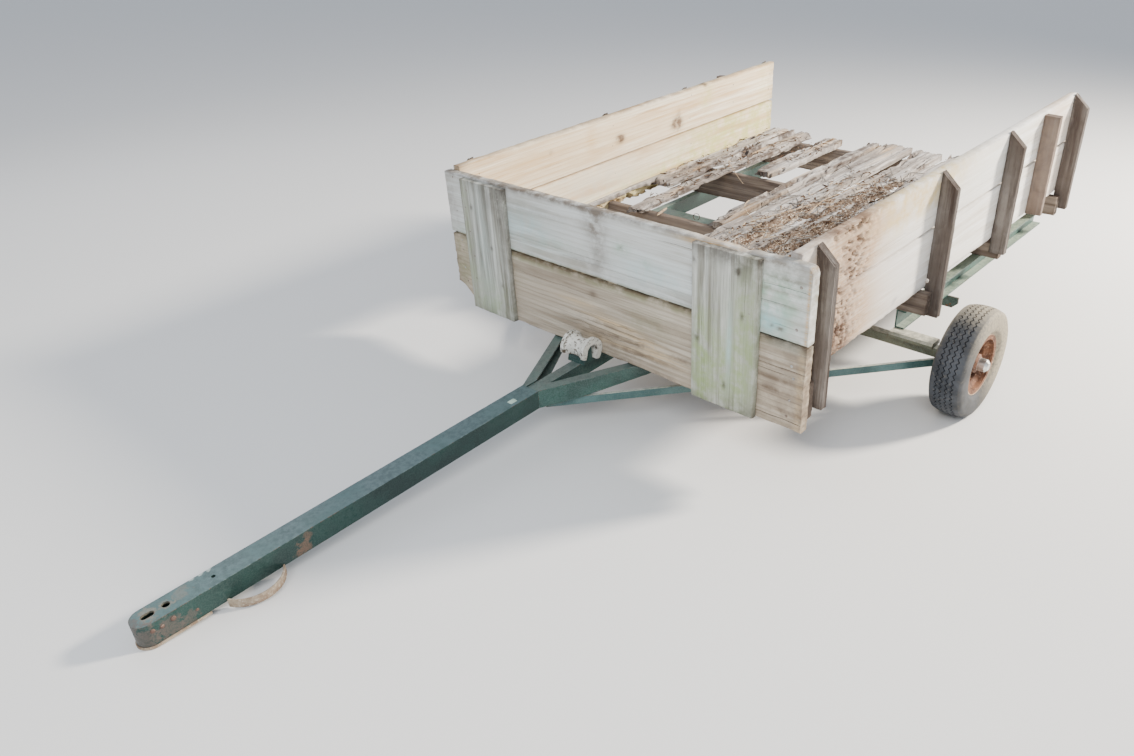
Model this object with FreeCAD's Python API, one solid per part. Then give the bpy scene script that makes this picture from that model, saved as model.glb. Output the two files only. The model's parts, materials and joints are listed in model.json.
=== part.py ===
import FreeCAD, Part
import math
import os

V = FreeCAD.Vector

# Utility trailer: a plank box on wooden sills and two steel rails, towed by a long straight tongue.
# Everything is first built in the bed's own frame, in millimetres: x runs forward to the hitch,
# y to the trailer's left, z up, square to the bed. The origin of that frame is level with the
# bottom edge of the headboard's front face, on the centre line between the side boards. The tongue
# and its fork are built straight, then turned a little, because they sit askew under the bed. The
# whole trailer is then pitched nose down, as it parks on its two tyres and the tip of its tongue.

# Headboard
HEAD_PAST_RIGHT = 12.0
HEAD_PAST_LEFT = 62.0
HEAD_THICK = 38.0
HEAD_LOWER = 308.0
HEAD_UPPER = 260.0
BOARD_GAP = 3.0
HEAD_ROUND = 22.0
HEAD_ROT_LONG = 130.0
HEAD_ROT_HIGH = 62.0
CLEAT_WIDTH = 254.0
CLEAT_THICK = 25.0
CLEAT_INSET_RIGHT = 118.0
CLEAT_INSET_LEFT = 162.0
CLEAT_BOTTOM = 6.0
CLEAT_TOP_DROP = 8.0

# Side boards
BOX_INNER_HALF = 765.0
SIDE_THICK = 38.0
SIDE_BOTTOM = 140.0
SIDE_LOWER = 237.0
SIDE_UPPER = 206.0
BED_LONG = 2302.0

# Stakes along the sides
STAKE_ALONG = 38.0
STAKE_PROUD = 64.0
STAKE_RISE = 4.0
STAKE_CHAMFER = 60.0
SHORT_STAKE_DROP = 12.0
SHORT_STAKE_FROM_END = 402.0
SHORT_STAKE_LOW = 142.0
FRONT_STAKE_LOW = 30.0
THIRD_STAKE_LOW = 85.0
REAR_STAKE_LOW = 70.0

# Wooden sills under the deck, placed by their rear faces: the first behind the headboard's face, the
# second behind the axle, the last two in front of the side boards' rear end
SILL_THICK = 38.0
SILL_HEIGHT = 140.0
SILL_TOP = 185.0
SILL_PAST_SIDE = 34.0
SILL_SHOULDER_GAP = 2.0
SILL_FRONT_BACK = 115.0
SILL_SECOND_PAST_AXLE = 50.0
SILL_THIRD_FROM_END = 691.0
SILL_REAR_FROM_END = 56.0

# Deck planks
PLANK_THICK = 38.0
PLANK_GAP = 8.0
PLANK_COUNT = 9
PLANK_FRONT_GAP = 4.0
STUB_PAST_SILL = 240.0
STRIP_AHEAD_OF_SILL = 140.0
STRIP_LOST = 58.0
SPLIT_LOST = 20.0
RAGGED_AHEAD_OF_SILL = 80.0
RAGGED_LOST = 70.0

# Rails: channels that open outward, under the sills, and the same channel laid flat between them
RAIL_HEIGHT = 76.0
RAIL_FLANGE = 38.0
RAIL_WEB = 6.0
RAIL_INSET = 2.0
RAIL_FRONT_PAST_AXLE = 15.0
RAIL_REAR_PAST_SILL = 44.0
CROSS_BACK = 1218.0
HANGER_BACK = 1288.0
HANGER_THICK = 8.0
HANGER_WIDE = 84.0
HANGER_DEEP = 48.0
HANGER_CUT = 22.0

# Tongue: a box tube whose front end is formed into a deeper hollow nose, with a lip round the nose's foot
TONGUE_YAW = 1.8
TONGUE_SHIFT = -35.0
TONGUE_WIDE = 76.0
TONGUE_HIGH = 70.0
TONGUE_WALL = 6.0
TONGUE_TOP = -2.0
NOSE_X = 1792.0
NOSE_LONG = 190.0
NOSE_LIP_THICK = 7.0
NOSE_LIP_PROUD = 3.0
SLOT_X = 1745.0
SLOT_LONG = 36.0
SLOT_WIDE = 20.0
PIN_HOLE_X = 1695.0
PIN_HOLE_R = 11.0
SMALL_HOLE_X = 1560.0
SMALL_HOLE_R = 6.0

# Spine: the narrower tube that runs from inside the tongue back to the axle
SPINE_WIDE = 44.0
SPINE_WALL = 5.0
SPINE_LAP = 80.0

# Bent strap on the tongue's side
STRAP_THICK = 5.0
STRAP_HIGH = 26.0
STRAP_BELOW = 20.0
STRAP_MID_X = 1468.0
STRAP_LONG = 180.0
STRAP_BULGE = 58.0

# Fork arms: channels that spread from the tongue's rear end, their webs outside
FORK_ANGLE = 26.0
FORK_X = 335.0
FORK_FLANGE = 38.0
FORK_WALL = 6.0
FORK_STRAIGHT = 155.0
FORK_TAIL_HIGH = 36.0
FORK_PAST_SILL = 35.0

# Lower braces from under the tongue to under the axle's ends
BRACE_THICK = 12.0
BRACE_HIGH = 30.0
BRACE_FRONT_X = 281.0
BRACE_FRONT_OUT = 20.0
BRACE_END_INSET = 3.0

# Saddle on the tongue's spine, in front of the headboard
SADDLE_GAP = 5.0
SADDLE_AXIS_UP = 50.0
SADDLE_LONG = 114.0
SADDLE_FLANGE = 15.0
SADDLE_FLANGE_R = 54.0
SADDLE_BODY_R = 38.0
SADDLE_INNER_R = 28.0
SADDLE_SKIRT = 30.0
SADDLE_TILT = 18.0
SADDLE_SHOULDER = 8.0
SADDLE_NOTCH_LONG = 32.0
SADDLE_NOTCH_WIDE = 7.0
SADDLE_NOTCH_DEEP = 12.0
SADDLE_NOTCH_LEAN = 22.0
POST_LONG = 82.0
POST_REAR = 14.0
POST_FRONT = 34.0
POST_TIP = 11.0
POST_ROUND = 7.0

# Axle and wheels
AXLE_BACK = 890.0
AXLE_BAR = 36.0
AXLE_SHOULDER = 44.0
AXLE_SEAT_HIGH = 21.0
AXLE_SEAT_WIDE = 70.0
AXLE_SEAT_END = 45.0
AXLE_SEAT_CHAMFER = 9.0
SPINDLE_R = 12.7
HUB_CLEARANCE = 0.3
WHEEL_GAP = 100.0
TYRE_R = 210.0
TYRE_WIDE = 122.0
TREAD_WIDE = 92.0
TREAD_CROWN = 9.0
RIM_R = 101.5
RIM_WIDE = 96.0
RIM_WALL = 4.0
RIM_LIP = 12.0
RIM_WELL = 14.0
RIM_WELL_WIDE = 34.0
DISC_SET_IN = 6.0
DISC_DISH = 14.0
DISC_FLAT = 22.0
HUB_R = 36.0
HUB_LONG = 78.0
HUB_TAPER = 8.0
CAP_R = 24.0
CAP_LONG = 34.0
CAP_ROUND = 10.0
CAP_WALL = 2.0

# Seats between pieces that touch
SEAT = 0.3

HEAD_HIGH = HEAD_LOWER + BOARD_GAP + HEAD_UPPER
SIDE_FRONT = -HEAD_THICK - SEAT
SEAM_Z = SIDE_BOTTOM + SIDE_LOWER
SIDE_TOP = SEAM_Z + BOARD_GAP + SIDE_UPPER
STAKE_TOP = SIDE_TOP + STAKE_RISE
BOX_OUTER_HALF = BOX_INNER_HALF + SIDE_THICK
DECK_TOP = SILL_TOP + PLANK_THICK
PLANK_PITCH = 2 * BOX_INNER_HALF / PLANK_COUNT
SILL_BOTTOM = SILL_TOP - SILL_HEIGHT
RAIL_OUTER = BOX_INNER_HALF - RAIL_INSET
RAIL_TOP = SILL_BOTTOM
RAIL_BOTTOM = RAIL_TOP - RAIL_HEIGHT
RAIL_REAR = -BED_LONG + SILL_REAR_FROM_END - RAIL_REAR_PAST_SILL
AXLE_X = -AXLE_BACK
RAIL_FRONT = AXLE_X - RAIL_FRONT_PAST_AXLE
AXLE_TOP = RAIL_BOTTOM - AXLE_SEAT_HIGH
AXLE_Z = AXLE_TOP - AXLE_BAR / 2
AXLE_FACE = AXLE_X + AXLE_BAR / 2
TRACK_HALF = BOX_OUTER_HALF + STAKE_PROUD + WHEEL_GAP + TYRE_WIDE / 2
AXLE_HALF = TRACK_HALF - HUB_LONG / 2 - AXLE_SHOULDER
TONGUE_BOTTOM = TONGUE_TOP - TONGUE_HIGH
SPINE_TOP = TONGUE_TOP - TONGUE_WALL - SEAT
SPINE_BOTTOM = TONGUE_BOTTOM + TONGUE_WALL + SEAT
SADDLE_X = SADDLE_FLANGE_R + SADDLE_GAP
SADDLE_AXIS_Z = SPINE_TOP + SADDLE_AXIS_UP

SILL_SECOND_BACK = AXLE_BACK + SILL_SECOND_PAST_AXLE
SILL_THIRD_BACK = BED_LONG - SILL_THIRD_FROM_END
SILL_REAR_BACK = BED_LONG - SILL_REAR_FROM_END
SHORT_STAKE_BACK = BED_LONG - SHORT_STAKE_FROM_END
PLANK_FRONT = HEAD_THICK + PLANK_FRONT_GAP

# Ground line: the tyres and the tip of the nose's lip stand on the same floor
NOSE_TIP = NOSE_X + NOSE_LIP_PROUD
NOSE_REAR = NOSE_TIP - NOSE_LONG
NOSE_ROUND = TONGUE_WIDE / 2 + NOSE_LIP_PROUD
NOSE_REACH = (NOSE_TIP - NOSE_ROUND) * math.cos(math.radians(TONGUE_YAW)) + NOSE_ROUND
RISE = AXLE_Z - (TONGUE_BOTTOM - NOSE_LIP_THICK)
REACH = NOSE_REACH - AXLE_X
PITCH = math.degrees(math.asin(TYRE_R / math.hypot(RISE, REACH)) - math.atan2(RISE, REACH))

# Stakes: distance of the front face behind the headboard's face, lower end, top end, chamfered or not
STAKES = (
    (SILL_FRONT_BACK, FRONT_STAKE_LOW, STAKE_TOP, True),
    (SILL_SECOND_BACK, FRONT_STAKE_LOW, STAKE_TOP, True),
    (SILL_THIRD_BACK - SILL_THICK - STAKE_ALONG, THIRD_STAKE_LOW, STAKE_TOP, True),
    (SHORT_STAKE_BACK, SHORT_STAKE_LOW, SIDE_TOP - SHORT_STAKE_DROP, False),
    (SILL_REAR_BACK, REAR_STAKE_LOW, STAKE_TOP, True),
)

# Sills: name, distance of the rear face behind the headboard's face, height
SILLS = (
    ("sill_front", SILL_FRONT_BACK, SILL_TOP - TONGUE_TOP - SEAT),
    ("sill_second", SILL_SECOND_BACK, SILL_HEIGHT),
    ("sill_third", SILL_THIRD_BACK, SILL_HEIGHT),
    ("sill_rear", SILL_REAR_BACK, SILL_HEIGHT),
)

# Deck planks, from the right wall, several broken off short or rotted narrow: distance of the front
# end behind the headboard's face, rear end past the side boards' end, width lost on the right edge,
# width lost on the left edge
PLANKS = (
    (SILL_SECOND_BACK + STUB_PAST_SILL, 38.0, 0.0, 0.0),
    (SILL_SECOND_BACK - STRIP_AHEAD_OF_SILL, 28.0, 0.0, STRIP_LOST),
    (SILL_THIRD_BACK - SILL_THICK, -2.0, 0.0, SPLIT_LOST),
    (SILL_SECOND_BACK - RAGGED_AHEAD_OF_SILL, 38.0, RAGGED_LOST, 0.0),
    (PLANK_FRONT, 48.0, 0.0, 0.0),
    (PLANK_FRONT, 28.0, 0.0, 0.0),
    (PLANK_FRONT, 58.0, 0.0, 0.0),
    (PLANK_FRONT, 48.0, 0.0, 0.0),
    (PLANK_FRONT, 28.0, 0.0, 0.0),
)


def block(x0, x1, y0, y1, z0, z1):
    """A rectangular solid between two corners, in any order."""
    low = V(min(x0, x1), min(y0, y1), min(z0, z1))
    return Part.makeBox(abs(x1 - x0), abs(y1 - y0), abs(z1 - z0), low)


def plate(points, push):
    """A flat plate: an outline of points pushed along a vector."""
    wire = Part.makePolygon(list(points) + [points[0]])
    return Part.Face(wire).extrude(push)


def wheel_place(sign):
    """Centre of a wheel and the direction that points away from the trailer."""
    return V(AXLE_X, sign * TRACK_HALF, AXLE_Z), V(0, sign, 0)


def turned(profile, centre, axis):
    """A solid of revolution from (radius, along) pairs about an axis through centre."""
    points = [centre + V(0, 0, 1) * r + axis * a for r, a in profile]
    wire = Part.makePolygon(points + [points[0]])
    return Part.Face(wire).revolve(centre, axis, 360)


def bow_outline(width, x_rear, x_tip, z):
    """Plan outline of a bar with a half-round front end."""
    r = width / 2
    x_turn = x_tip - r
    a, b = V(x_rear, -r, z), V(x_turn, -r, z)
    c, d = V(x_turn, r, z), V(x_rear, r, z)
    tip = V(x_tip, 0, z)
    edges = [
        Part.makeLine(a, b),
        Part.Arc(b, tip, c).toShape(),
        Part.makeLine(c, d),
        Part.makeLine(d, a),
    ]
    return Part.Face(Part.Wire(edges))


def askew(shape):
    """Turn a piece of the tongue's assembly, built straight on y = 0, to its place under the bed."""
    shape.rotate(V(0, 0, 0), V(0, 0, 1), TONGUE_YAW)
    shape.translate(V(0, TONGUE_SHIFT, 0))
    return shape


def askew_point(x, y, z):
    """The same turn for one point."""
    yaw = math.radians(TONGUE_YAW)
    return V(x * math.cos(yaw) - y * math.sin(yaw), x * math.sin(yaw) + y * math.cos(yaw) + TONGUE_SHIFT, z)


def headboard():
    """Two boards, one with a rounded and one with a rotted corner, held by two wide cleats on their front."""
    right = -BOX_OUTER_HALF - HEAD_PAST_RIGHT
    left = BOX_OUTER_HALF + HEAD_PAST_LEFT
    outline = [
        V(0, right + HEAD_ROT_LONG, 0),
        V(0, left, 0),
        V(0, left, HEAD_LOWER),
        V(0, right, HEAD_LOWER),
        V(0, right, HEAD_ROT_HIGH),
    ]
    lower = plate(outline, V(-HEAD_THICK, 0, 0))
    upper = block(-HEAD_THICK, 0, right, left, HEAD_LOWER + BOARD_GAP, HEAD_HIGH)
    corner = V(0, left, HEAD_HIGH)
    across = [e for e in upper.Edges if any((v.Point - corner).Length < SEAT for v in e.Vertexes)]
    upper = upper.makeFillet(HEAD_ROUND, [e for e in across if abs(e.tangentAt(e.FirstParameter).x) > 0.5])
    pieces = {"headboard_lower": lower, "headboard_upper": upper}
    top = HEAD_HIGH - CLEAT_TOP_DROP
    for word, y0 in (("right", right + CLEAT_INSET_RIGHT), ("left", left - CLEAT_INSET_LEFT - CLEAT_WIDTH)):
        pieces["headboard_cleat_" + word] = block(0, CLEAT_THICK, y0, y0 + CLEAT_WIDTH, CLEAT_BOTTOM, top)
    return pieces


def side(sign):
    """The two long boards of one side, on the sills' shoulders."""
    inner, outer = sign * BOX_INNER_HALF, sign * BOX_OUTER_HALF
    lower = block(SIDE_FRONT, -BED_LONG, inner, outer, SIDE_BOTTOM, SEAM_Z)
    upper = block(SIDE_FRONT, -BED_LONG, inner, outer, SEAM_Z + BOARD_GAP, SIDE_TOP)
    return lower, upper


def stake(sign, back, z_low, z_top, chamfered):
    """One stake on the outside of a side, its top sloped down to the outside."""
    near = sign * BOX_OUTER_HALF
    far = sign * (BOX_OUTER_HALF + STAKE_PROUD)
    drop = STAKE_CHAMFER if chamfered else STAKE_RISE
    outline = [
        V(-back, near, z_low),
        V(-back, far, z_low),
        V(-back, far, z_top - drop),
        V(-back, near, z_top),
    ]
    return plate(outline, V(-STAKE_ALONG, 0, 0))


def stakes(sign):
    return Part.makeCompound([stake(sign, *row) for row in STAKES])


def sill(back, height):
    """A wooden sill on edge, its ends shouldered for the side boards."""
    end = BOX_OUTER_HALF + SILL_PAST_SIDE
    cut = BOX_INNER_HALF - SILL_SHOULDER_GAP
    bottom = SILL_TOP - height
    outline = [
        V(-back, -end, bottom),
        V(-back, end, bottom),
        V(-back, end, SIDE_BOTTOM),
        V(-back, cut, SIDE_BOTTOM),
        V(-back, cut, SILL_TOP),
        V(-back, -cut, SILL_TOP),
        V(-back, -cut, SIDE_BOTTOM),
        V(-back, -end, SIDE_BOTTOM),
    ]
    return plate(outline, V(SILL_THICK, 0, 0))


def plank(place, back, past_end, cut_right, cut_left):
    y_right = -BOX_INNER_HALF + place * PLANK_PITCH + PLANK_GAP / 2 + cut_right
    y_left = -BOX_INNER_HALF + (place + 1) * PLANK_PITCH - PLANK_GAP / 2 - cut_left
    return block(-back, -BED_LONG - past_end, y_right, y_left, SILL_TOP, DECK_TOP)


def channel_outline(depth, height, wall):
    """Section of a channel as (out, up) pairs: web on out = 0, flanges to out = depth, top on up = 0."""
    return [
        (0, 0),
        (depth, 0),
        (depth, -wall),
        (wall, -wall),
        (wall, wall - height),
        (depth, wall - height),
        (depth, -height),
        (0, -height),
    ]


def rail(sign):
    """A channel under the sills, its flanges pointing outward."""
    web = RAIL_OUTER - RAIL_FLANGE
    section = channel_outline(RAIL_FLANGE, RAIL_HEIGHT, RAIL_WEB)
    outline = [V(RAIL_REAR, sign * (web + out), RAIL_TOP + up) for out, up in section]
    return plate(outline, V(RAIL_FRONT - RAIL_REAR, 0, 0))


def cross_channel():
    """The same channel between the two rails, laid flat with its flanges down."""
    half = RAIL_OUTER - RAIL_FLANGE
    section = channel_outline(RAIL_FLANGE, RAIL_HEIGHT, RAIL_WEB)
    outline = [V(-CROSS_BACK + up, -half, RAIL_TOP - out) for out, up in section]
    return plate(outline, V(0, 2 * half, 0))


def rail_hanger(sign):
    """A plate across the underside of a rail, its outer corner cut off."""
    web = RAIL_OUTER - RAIL_FLANGE
    far = web + HANGER_WIDE
    low = RAIL_BOTTOM - HANGER_DEEP
    outline = [
        V(-HANGER_BACK, sign * web, RAIL_BOTTOM),
        V(-HANGER_BACK, sign * far, RAIL_BOTTOM),
        V(-HANGER_BACK, sign * far, low + HANGER_CUT),
        V(-HANGER_BACK, sign * (far - HANGER_CUT), low),
        V(-HANGER_BACK, sign * web, low),
    ]
    return plate(outline, V(-HANGER_THICK, 0, 0))


def axle_seat(sign):
    """The steel seat that carries a rail's front end on the axle bar, its upper edges chamfered."""
    y_in = sign * (RAIL_OUTER - RAIL_FLANGE)
    length = AXLE_HALF - AXLE_SEAT_END - abs(y_in)
    half = AXLE_SEAT_WIDE / 2
    top = half - AXLE_SEAT_CHAMFER
    outline = [
        V(AXLE_X - half, y_in, AXLE_TOP),
        V(AXLE_X + half, y_in, AXLE_TOP),
        V(AXLE_X + half, y_in, RAIL_BOTTOM - AXLE_SEAT_CHAMFER),
        V(AXLE_X + top, y_in, RAIL_BOTTOM),
        V(AXLE_X - top, y_in, RAIL_BOTTOM),
        V(AXLE_X - half, y_in, RAIL_BOTTOM - AXLE_SEAT_CHAMFER),
    ]
    return plate(outline, V(0, sign * length, 0))


def tongue():
    """The tube from the fork to its closed round nose, which is formed deeper, with a pin hole and a slot."""
    half = TONGUE_WIDE / 2
    drop = V(0, 0, -NOSE_LIP_THICK)
    low, high = TONGUE_BOTTOM + TONGUE_WALL, TONGUE_TOP - TONGUE_WALL
    tube = block(FORK_X, NOSE_X - half, -half, half, TONGUE_BOTTOM, TONGUE_TOP)
    nose = bow_outline(TONGUE_WIDE, NOSE_REAR, NOSE_X, TONGUE_TOP).extrude(drop + V(0, 0, -TONGUE_HIGH))
    body = tube.fuse(nose).removeSplitter()

    wide = TONGUE_WIDE - 2 * TONGUE_WALL
    tip = NOSE_X - TONGUE_WALL
    inner = bow_outline(wide, FORK_X - 1, tip, low).extrude(V(0, 0, high - low))
    deeper = bow_outline(wide, NOSE_REAR + TONGUE_WALL, tip, low).extrude(drop)

    r = SLOT_WIDE / 2
    half_slot = SLOT_LONG / 2 - r
    bottom = TONGUE_BOTTOM - NOSE_LIP_THICK - 1
    through = TONGUE_TOP + 1 - bottom
    slot = block(SLOT_X - half_slot, SLOT_X + half_slot, -r, r, bottom, bottom + through)
    holes = [(SLOT_X - half_slot, r), (SLOT_X + half_slot, r)]
    holes += [(PIN_HOLE_X, PIN_HOLE_R), (SMALL_HOLE_X, SMALL_HOLE_R)]
    rounds = [Part.makeCylinder(radius, through, V(x, 0, bottom)) for x, radius in holes]
    return body.cut([inner, deeper, slot] + rounds)


def nose_lip():
    """The flat band that runs round the foot of the nose like a lip."""
    low = TONGUE_BOTTOM - NOSE_LIP_THICK
    outer = bow_outline(TONGUE_WIDE + 2 * NOSE_LIP_PROUD, NOSE_REAR, NOSE_TIP, low)
    inner = bow_outline(TONGUE_WIDE + 2 * SEAT, NOSE_REAR - 1, NOSE_X + SEAT, low)
    return outer.extrude(V(0, 0, NOSE_LIP_THICK)).cut(inner.extrude(V(0, 0, NOSE_LIP_THICK)))


def spine():
    """The narrower tube that slides into the tongue's rear end and runs back to the axle bar."""
    half = SPINE_WIDE / 2
    yaw = math.radians(TONGUE_YAW)
    rear = (AXLE_FACE + SEAT + half * math.sin(yaw)) / math.cos(yaw)
    front = FORK_X + SPINE_LAP
    outer = block(rear, front, -half, half, SPINE_BOTTOM, SPINE_TOP)
    within = half - SPINE_WALL
    inner = block(rear - 1, front + 1, -within, within, SPINE_BOTTOM + SPINE_WALL, SPINE_TOP - SPINE_WALL)
    return outer.cut(inner)


def strap():
    """The flat bar on edge that is bent out in a loop from the tongue's left side."""
    y0 = TONGUE_WIDE / 2 + SEAT
    low = TONGUE_BOTTOM - STRAP_BELOW
    front, rear = STRAP_MID_X + STRAP_LONG / 2, STRAP_MID_X - STRAP_LONG / 2
    # The loop's arc and the arc on its inside share one centre.
    radius = (STRAP_BULGE ** 2 + (STRAP_LONG / 2) ** 2) / (2 * STRAP_BULGE)
    inner_half = math.sqrt((radius - STRAP_THICK) ** 2 - (radius - STRAP_BULGE) ** 2)
    outer = Part.Arc(V(rear, y0, low), V(STRAP_MID_X, y0 + STRAP_BULGE, low), V(front, y0, low)).toShape()
    inner = Part.Arc(
        V(STRAP_MID_X + inner_half, y0, low),
        V(STRAP_MID_X, y0 + STRAP_BULGE - STRAP_THICK, low),
        V(STRAP_MID_X - inner_half, y0, low),
    ).toShape()
    ends = [
        Part.makeLine(V(front, y0, low), V(STRAP_MID_X + inner_half, y0, low)),
        Part.makeLine(V(STRAP_MID_X - inner_half, y0, low), V(rear, y0, low)),
    ]
    return Part.Face(Part.Wire([outer, ends[0], inner, ends[1]])).extrude(V(0, 0, STRAP_HIGH))


def fork_arm(sign):
    """A channel with its web outside that leaves the tongue's corner and gets lower towards its tail."""
    angle = math.radians(FORK_ANGLE)
    along = V(-math.cos(angle), sign * math.sin(angle), 0)
    inward = V(-math.sin(angle), -sign * math.cos(angle), 0)
    corner = V(FORK_X, sign * TONGUE_WIDE / 2, TONGUE_TOP)
    start = -FORK_FLANGE * math.tan(angle) - 1
    end = (FORK_X + SILL_FRONT_BACK + FORK_PAST_SILL) / math.cos(angle)

    def profile(wall, over):
        """Side view of the arm, or of the hollow behind its web, as points along and down."""
        low = wall - TONGUE_HIGH
        points = (
            (start - over, -wall),
            (end + over, -wall),
            (end + over, wall - FORK_TAIL_HIGH),
            (FORK_STRAIGHT, low),
            (start - over, low),
        )
        return [corner + along * s + inward * wall + V(0, 0, up) for s, up in points]

    arm = plate(profile(0, 0), inward * FORK_FLANGE)
    arm = arm.cut(plate(profile(FORK_WALL, 1), inward * FORK_FLANGE))
    reach = 2 * TONGUE_WIDE
    low = TONGUE_BOTTOM - 1
    arm = arm.cut(block(FORK_X - SEAT, FORK_X + reach, -reach, reach, low, TONGUE_TOP + 1))
    half = SPINE_WIDE / 2 + SEAT
    return arm.cut(block(0, FORK_X, -half, half, low, TONGUE_TOP + 1))


def brace(sign):
    """A straight flat bar on edge, from under the tongue to under the end of the axle bar."""
    front = askew_point(BRACE_FRONT_X, sign * BRACE_FRONT_OUT, TONGUE_BOTTOM - SEAT)
    rear = V(AXLE_X, sign * (AXLE_HALF - BRACE_END_INSET), AXLE_Z - AXLE_BAR / 2 - SEAT)
    run_x, run_y = rear.x - front.x, rear.y - front.y
    along_y = V(0, -sign * BRACE_THICK * math.hypot(run_x, run_y) / abs(run_x), 0)
    down = V(0, 0, -BRACE_HIGH)
    wires = []
    for end in (front, rear):
        ring = [end, end + along_y, end + along_y + down, end + down]
        wires.append(Part.makePolygon(ring + [ring[0]]))
    return Part.makeLoft(wires, True, True)


def saddle():
    """A cast half spool: two round flanges, a waisted body and a round tunnel, tipped on its axis."""
    axis = V(0, 1, 0)
    centre = V(SADDLE_X, 0, SADDLE_AXIS_Z)
    half = SADDLE_LONG / 2
    shoulder_r = SADDLE_FLANGE_R - SADDLE_SHOULDER
    inside = half - SADDLE_FLANGE

    def p(r, a):
        return centre + V(0, 0, r) + axis * a

    edges = [
        Part.makeLine(p(SADDLE_INNER_R, -half), p(SADDLE_FLANGE_R, -half)),
        Part.makeLine(p(SADDLE_FLANGE_R, -half), p(SADDLE_FLANGE_R, -inside)),
        Part.makeLine(p(SADDLE_FLANGE_R, -inside), p(shoulder_r, -inside)),
        Part.Arc(p(shoulder_r, -inside), p(SADDLE_BODY_R, 0), p(shoulder_r, inside)).toShape(),
        Part.makeLine(p(shoulder_r, inside), p(SADDLE_FLANGE_R, inside)),
        Part.makeLine(p(SADDLE_FLANGE_R, inside), p(SADDLE_FLANGE_R, half)),
        Part.makeLine(p(SADDLE_FLANGE_R, half), p(SADDLE_INNER_R, half)),
        Part.makeLine(p(SADDLE_INNER_R, half), p(SADDLE_INNER_R, -half)),
    ]
    body = Part.Face(Part.Wire(edges)).revolve(centre, axis, 360)
    reach = 2 * SADDLE_FLANGE_R
    skirt = SADDLE_AXIS_Z - SADDLE_SKIRT
    body = body.cut(block(SADDLE_X - reach, SADDLE_X + reach, -reach, reach, skirt - reach, skirt))
    mouth = block(SADDLE_X - SADDLE_INNER_R, SADDLE_X + SADDLE_INNER_R, -reach, reach, skirt - 1, SADDLE_AXIS_Z)
    notch = block(
        SADDLE_X - SADDLE_NOTCH_LONG / 2, SADDLE_X + SADDLE_NOTCH_LONG / 2,
        -half + SADDLE_FLANGE / 2 - SADDLE_NOTCH_WIDE / 2, -half + SADDLE_FLANGE / 2 + SADDLE_NOTCH_WIDE / 2,
        SADDLE_AXIS_Z + SADDLE_FLANGE_R - SADDLE_NOTCH_DEEP, SADDLE_AXIS_Z + reach,
    )
    notch.rotate(centre, axis, SADDLE_NOTCH_LEAN)
    body = body.cut([mouth, notch])
    body.rotate(centre, axis, -SADDLE_TILT)
    return body


def saddle_post():
    """The gusset on the spine whose rounded crest the half spool sits on."""
    crest = SADDLE_AXIS_Z + SADDLE_INNER_R - SEAT
    y = -POST_LONG / 2
    a, b = V(SADDLE_X - POST_REAR, y, SPINE_TOP), V(SADDLE_X + POST_FRONT, y, SPINE_TOP)
    c, d = V(SADDLE_X + POST_TIP, y, crest - POST_ROUND), V(SADDLE_X - POST_TIP, y, crest - POST_ROUND)
    edges = [
        Part.makeLine(a, b),
        Part.makeLine(b, c),
        Part.Arc(c, V(SADDLE_X, y, crest), d).toShape(),
        Part.makeLine(d, a),
    ]
    return Part.Face(Part.Wire(edges)).extrude(V(0, POST_LONG, 0))


def axle_bar():
    half = AXLE_BAR / 2
    return block(AXLE_X - half, AXLE_X + half, -AXLE_HALF, AXLE_HALF, AXLE_Z - half, AXLE_Z + half)


def spindle(sign):
    start = V(AXLE_X, sign * AXLE_HALF, AXLE_Z)
    length = TRACK_HALF + HUB_LONG / 2 - AXLE_HALF
    return Part.makeCylinder(SPINDLE_R, length, start, V(0, sign, 0))


def tyre(sign):
    """Closed carcass of revolution: crowned tread, bulged walls, beads on the rim's lips."""
    centre, out = wheel_place(sign)
    half = TYRE_WIDE / 2
    tread = TREAD_WIDE / 2
    bead = RIM_WIDE / 2 - RIM_WALL
    bead_r = RIM_R + RIM_LIP
    mid_r = (TYRE_R + RIM_R) / 2
    shoulder_r = TYRE_R - TREAD_CROWN

    def p(r, a):
        return centre + V(0, 0, 1) * r + out * a

    edges = [
        Part.makeLine(p(RIM_R, -bead), p(bead_r, -bead)),
        Part.Arc(p(bead_r, -bead), p(mid_r, -half), p(shoulder_r, -tread)).toShape(),
        Part.Arc(p(shoulder_r, -tread), p(TYRE_R, 0), p(shoulder_r, tread)).toShape(),
        Part.Arc(p(shoulder_r, tread), p(mid_r, half), p(bead_r, bead)).toShape(),
        Part.makeLine(p(bead_r, bead), p(RIM_R, bead)),
        Part.makeLine(p(RIM_R, bead), p(RIM_R, -bead)),
    ]
    return Part.Face(Part.Wire(edges)).revolve(centre, out, 360)


def rim(sign):
    """Pressed rim: turned lips, a drop well round the middle and a dished disc welded inside it."""
    centre, out = wheel_place(sign)
    half = RIM_WIDE / 2
    lip = RIM_R + RIM_LIP
    inner = RIM_R - RIM_WALL
    well = RIM_WELL_WIDE / 2
    ramp = well + RIM_WELL
    well_r = RIM_R - RIM_WELL
    disc = -DISC_SET_IN
    flat_r = HUB_R + DISC_FLAT
    profile = [
        (RIM_R, -half + RIM_WALL),
        (lip, -half + RIM_WALL),
        (lip, -half),
        (inner, -half),
        (inner, -ramp),
        (well_r - RIM_WALL, -well),
        (well_r - RIM_WALL, disc - RIM_WALL),
        (flat_r, disc - RIM_WALL + DISC_DISH),
        (HUB_R, disc - RIM_WALL + DISC_DISH),
        (HUB_R, disc + DISC_DISH),
        (flat_r, disc + DISC_DISH),
        (well_r - RIM_WALL, disc),
        (well_r - RIM_WALL, well),
        (inner, ramp),
        (inner, half),
        (lip, half),
        (lip, half - RIM_WALL),
        (RIM_R, half - RIM_WALL),
        (RIM_R, ramp),
        (well_r, well),
        (well_r, -well),
        (RIM_R, -ramp),
    ]
    return turned(profile, centre, out)


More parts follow.
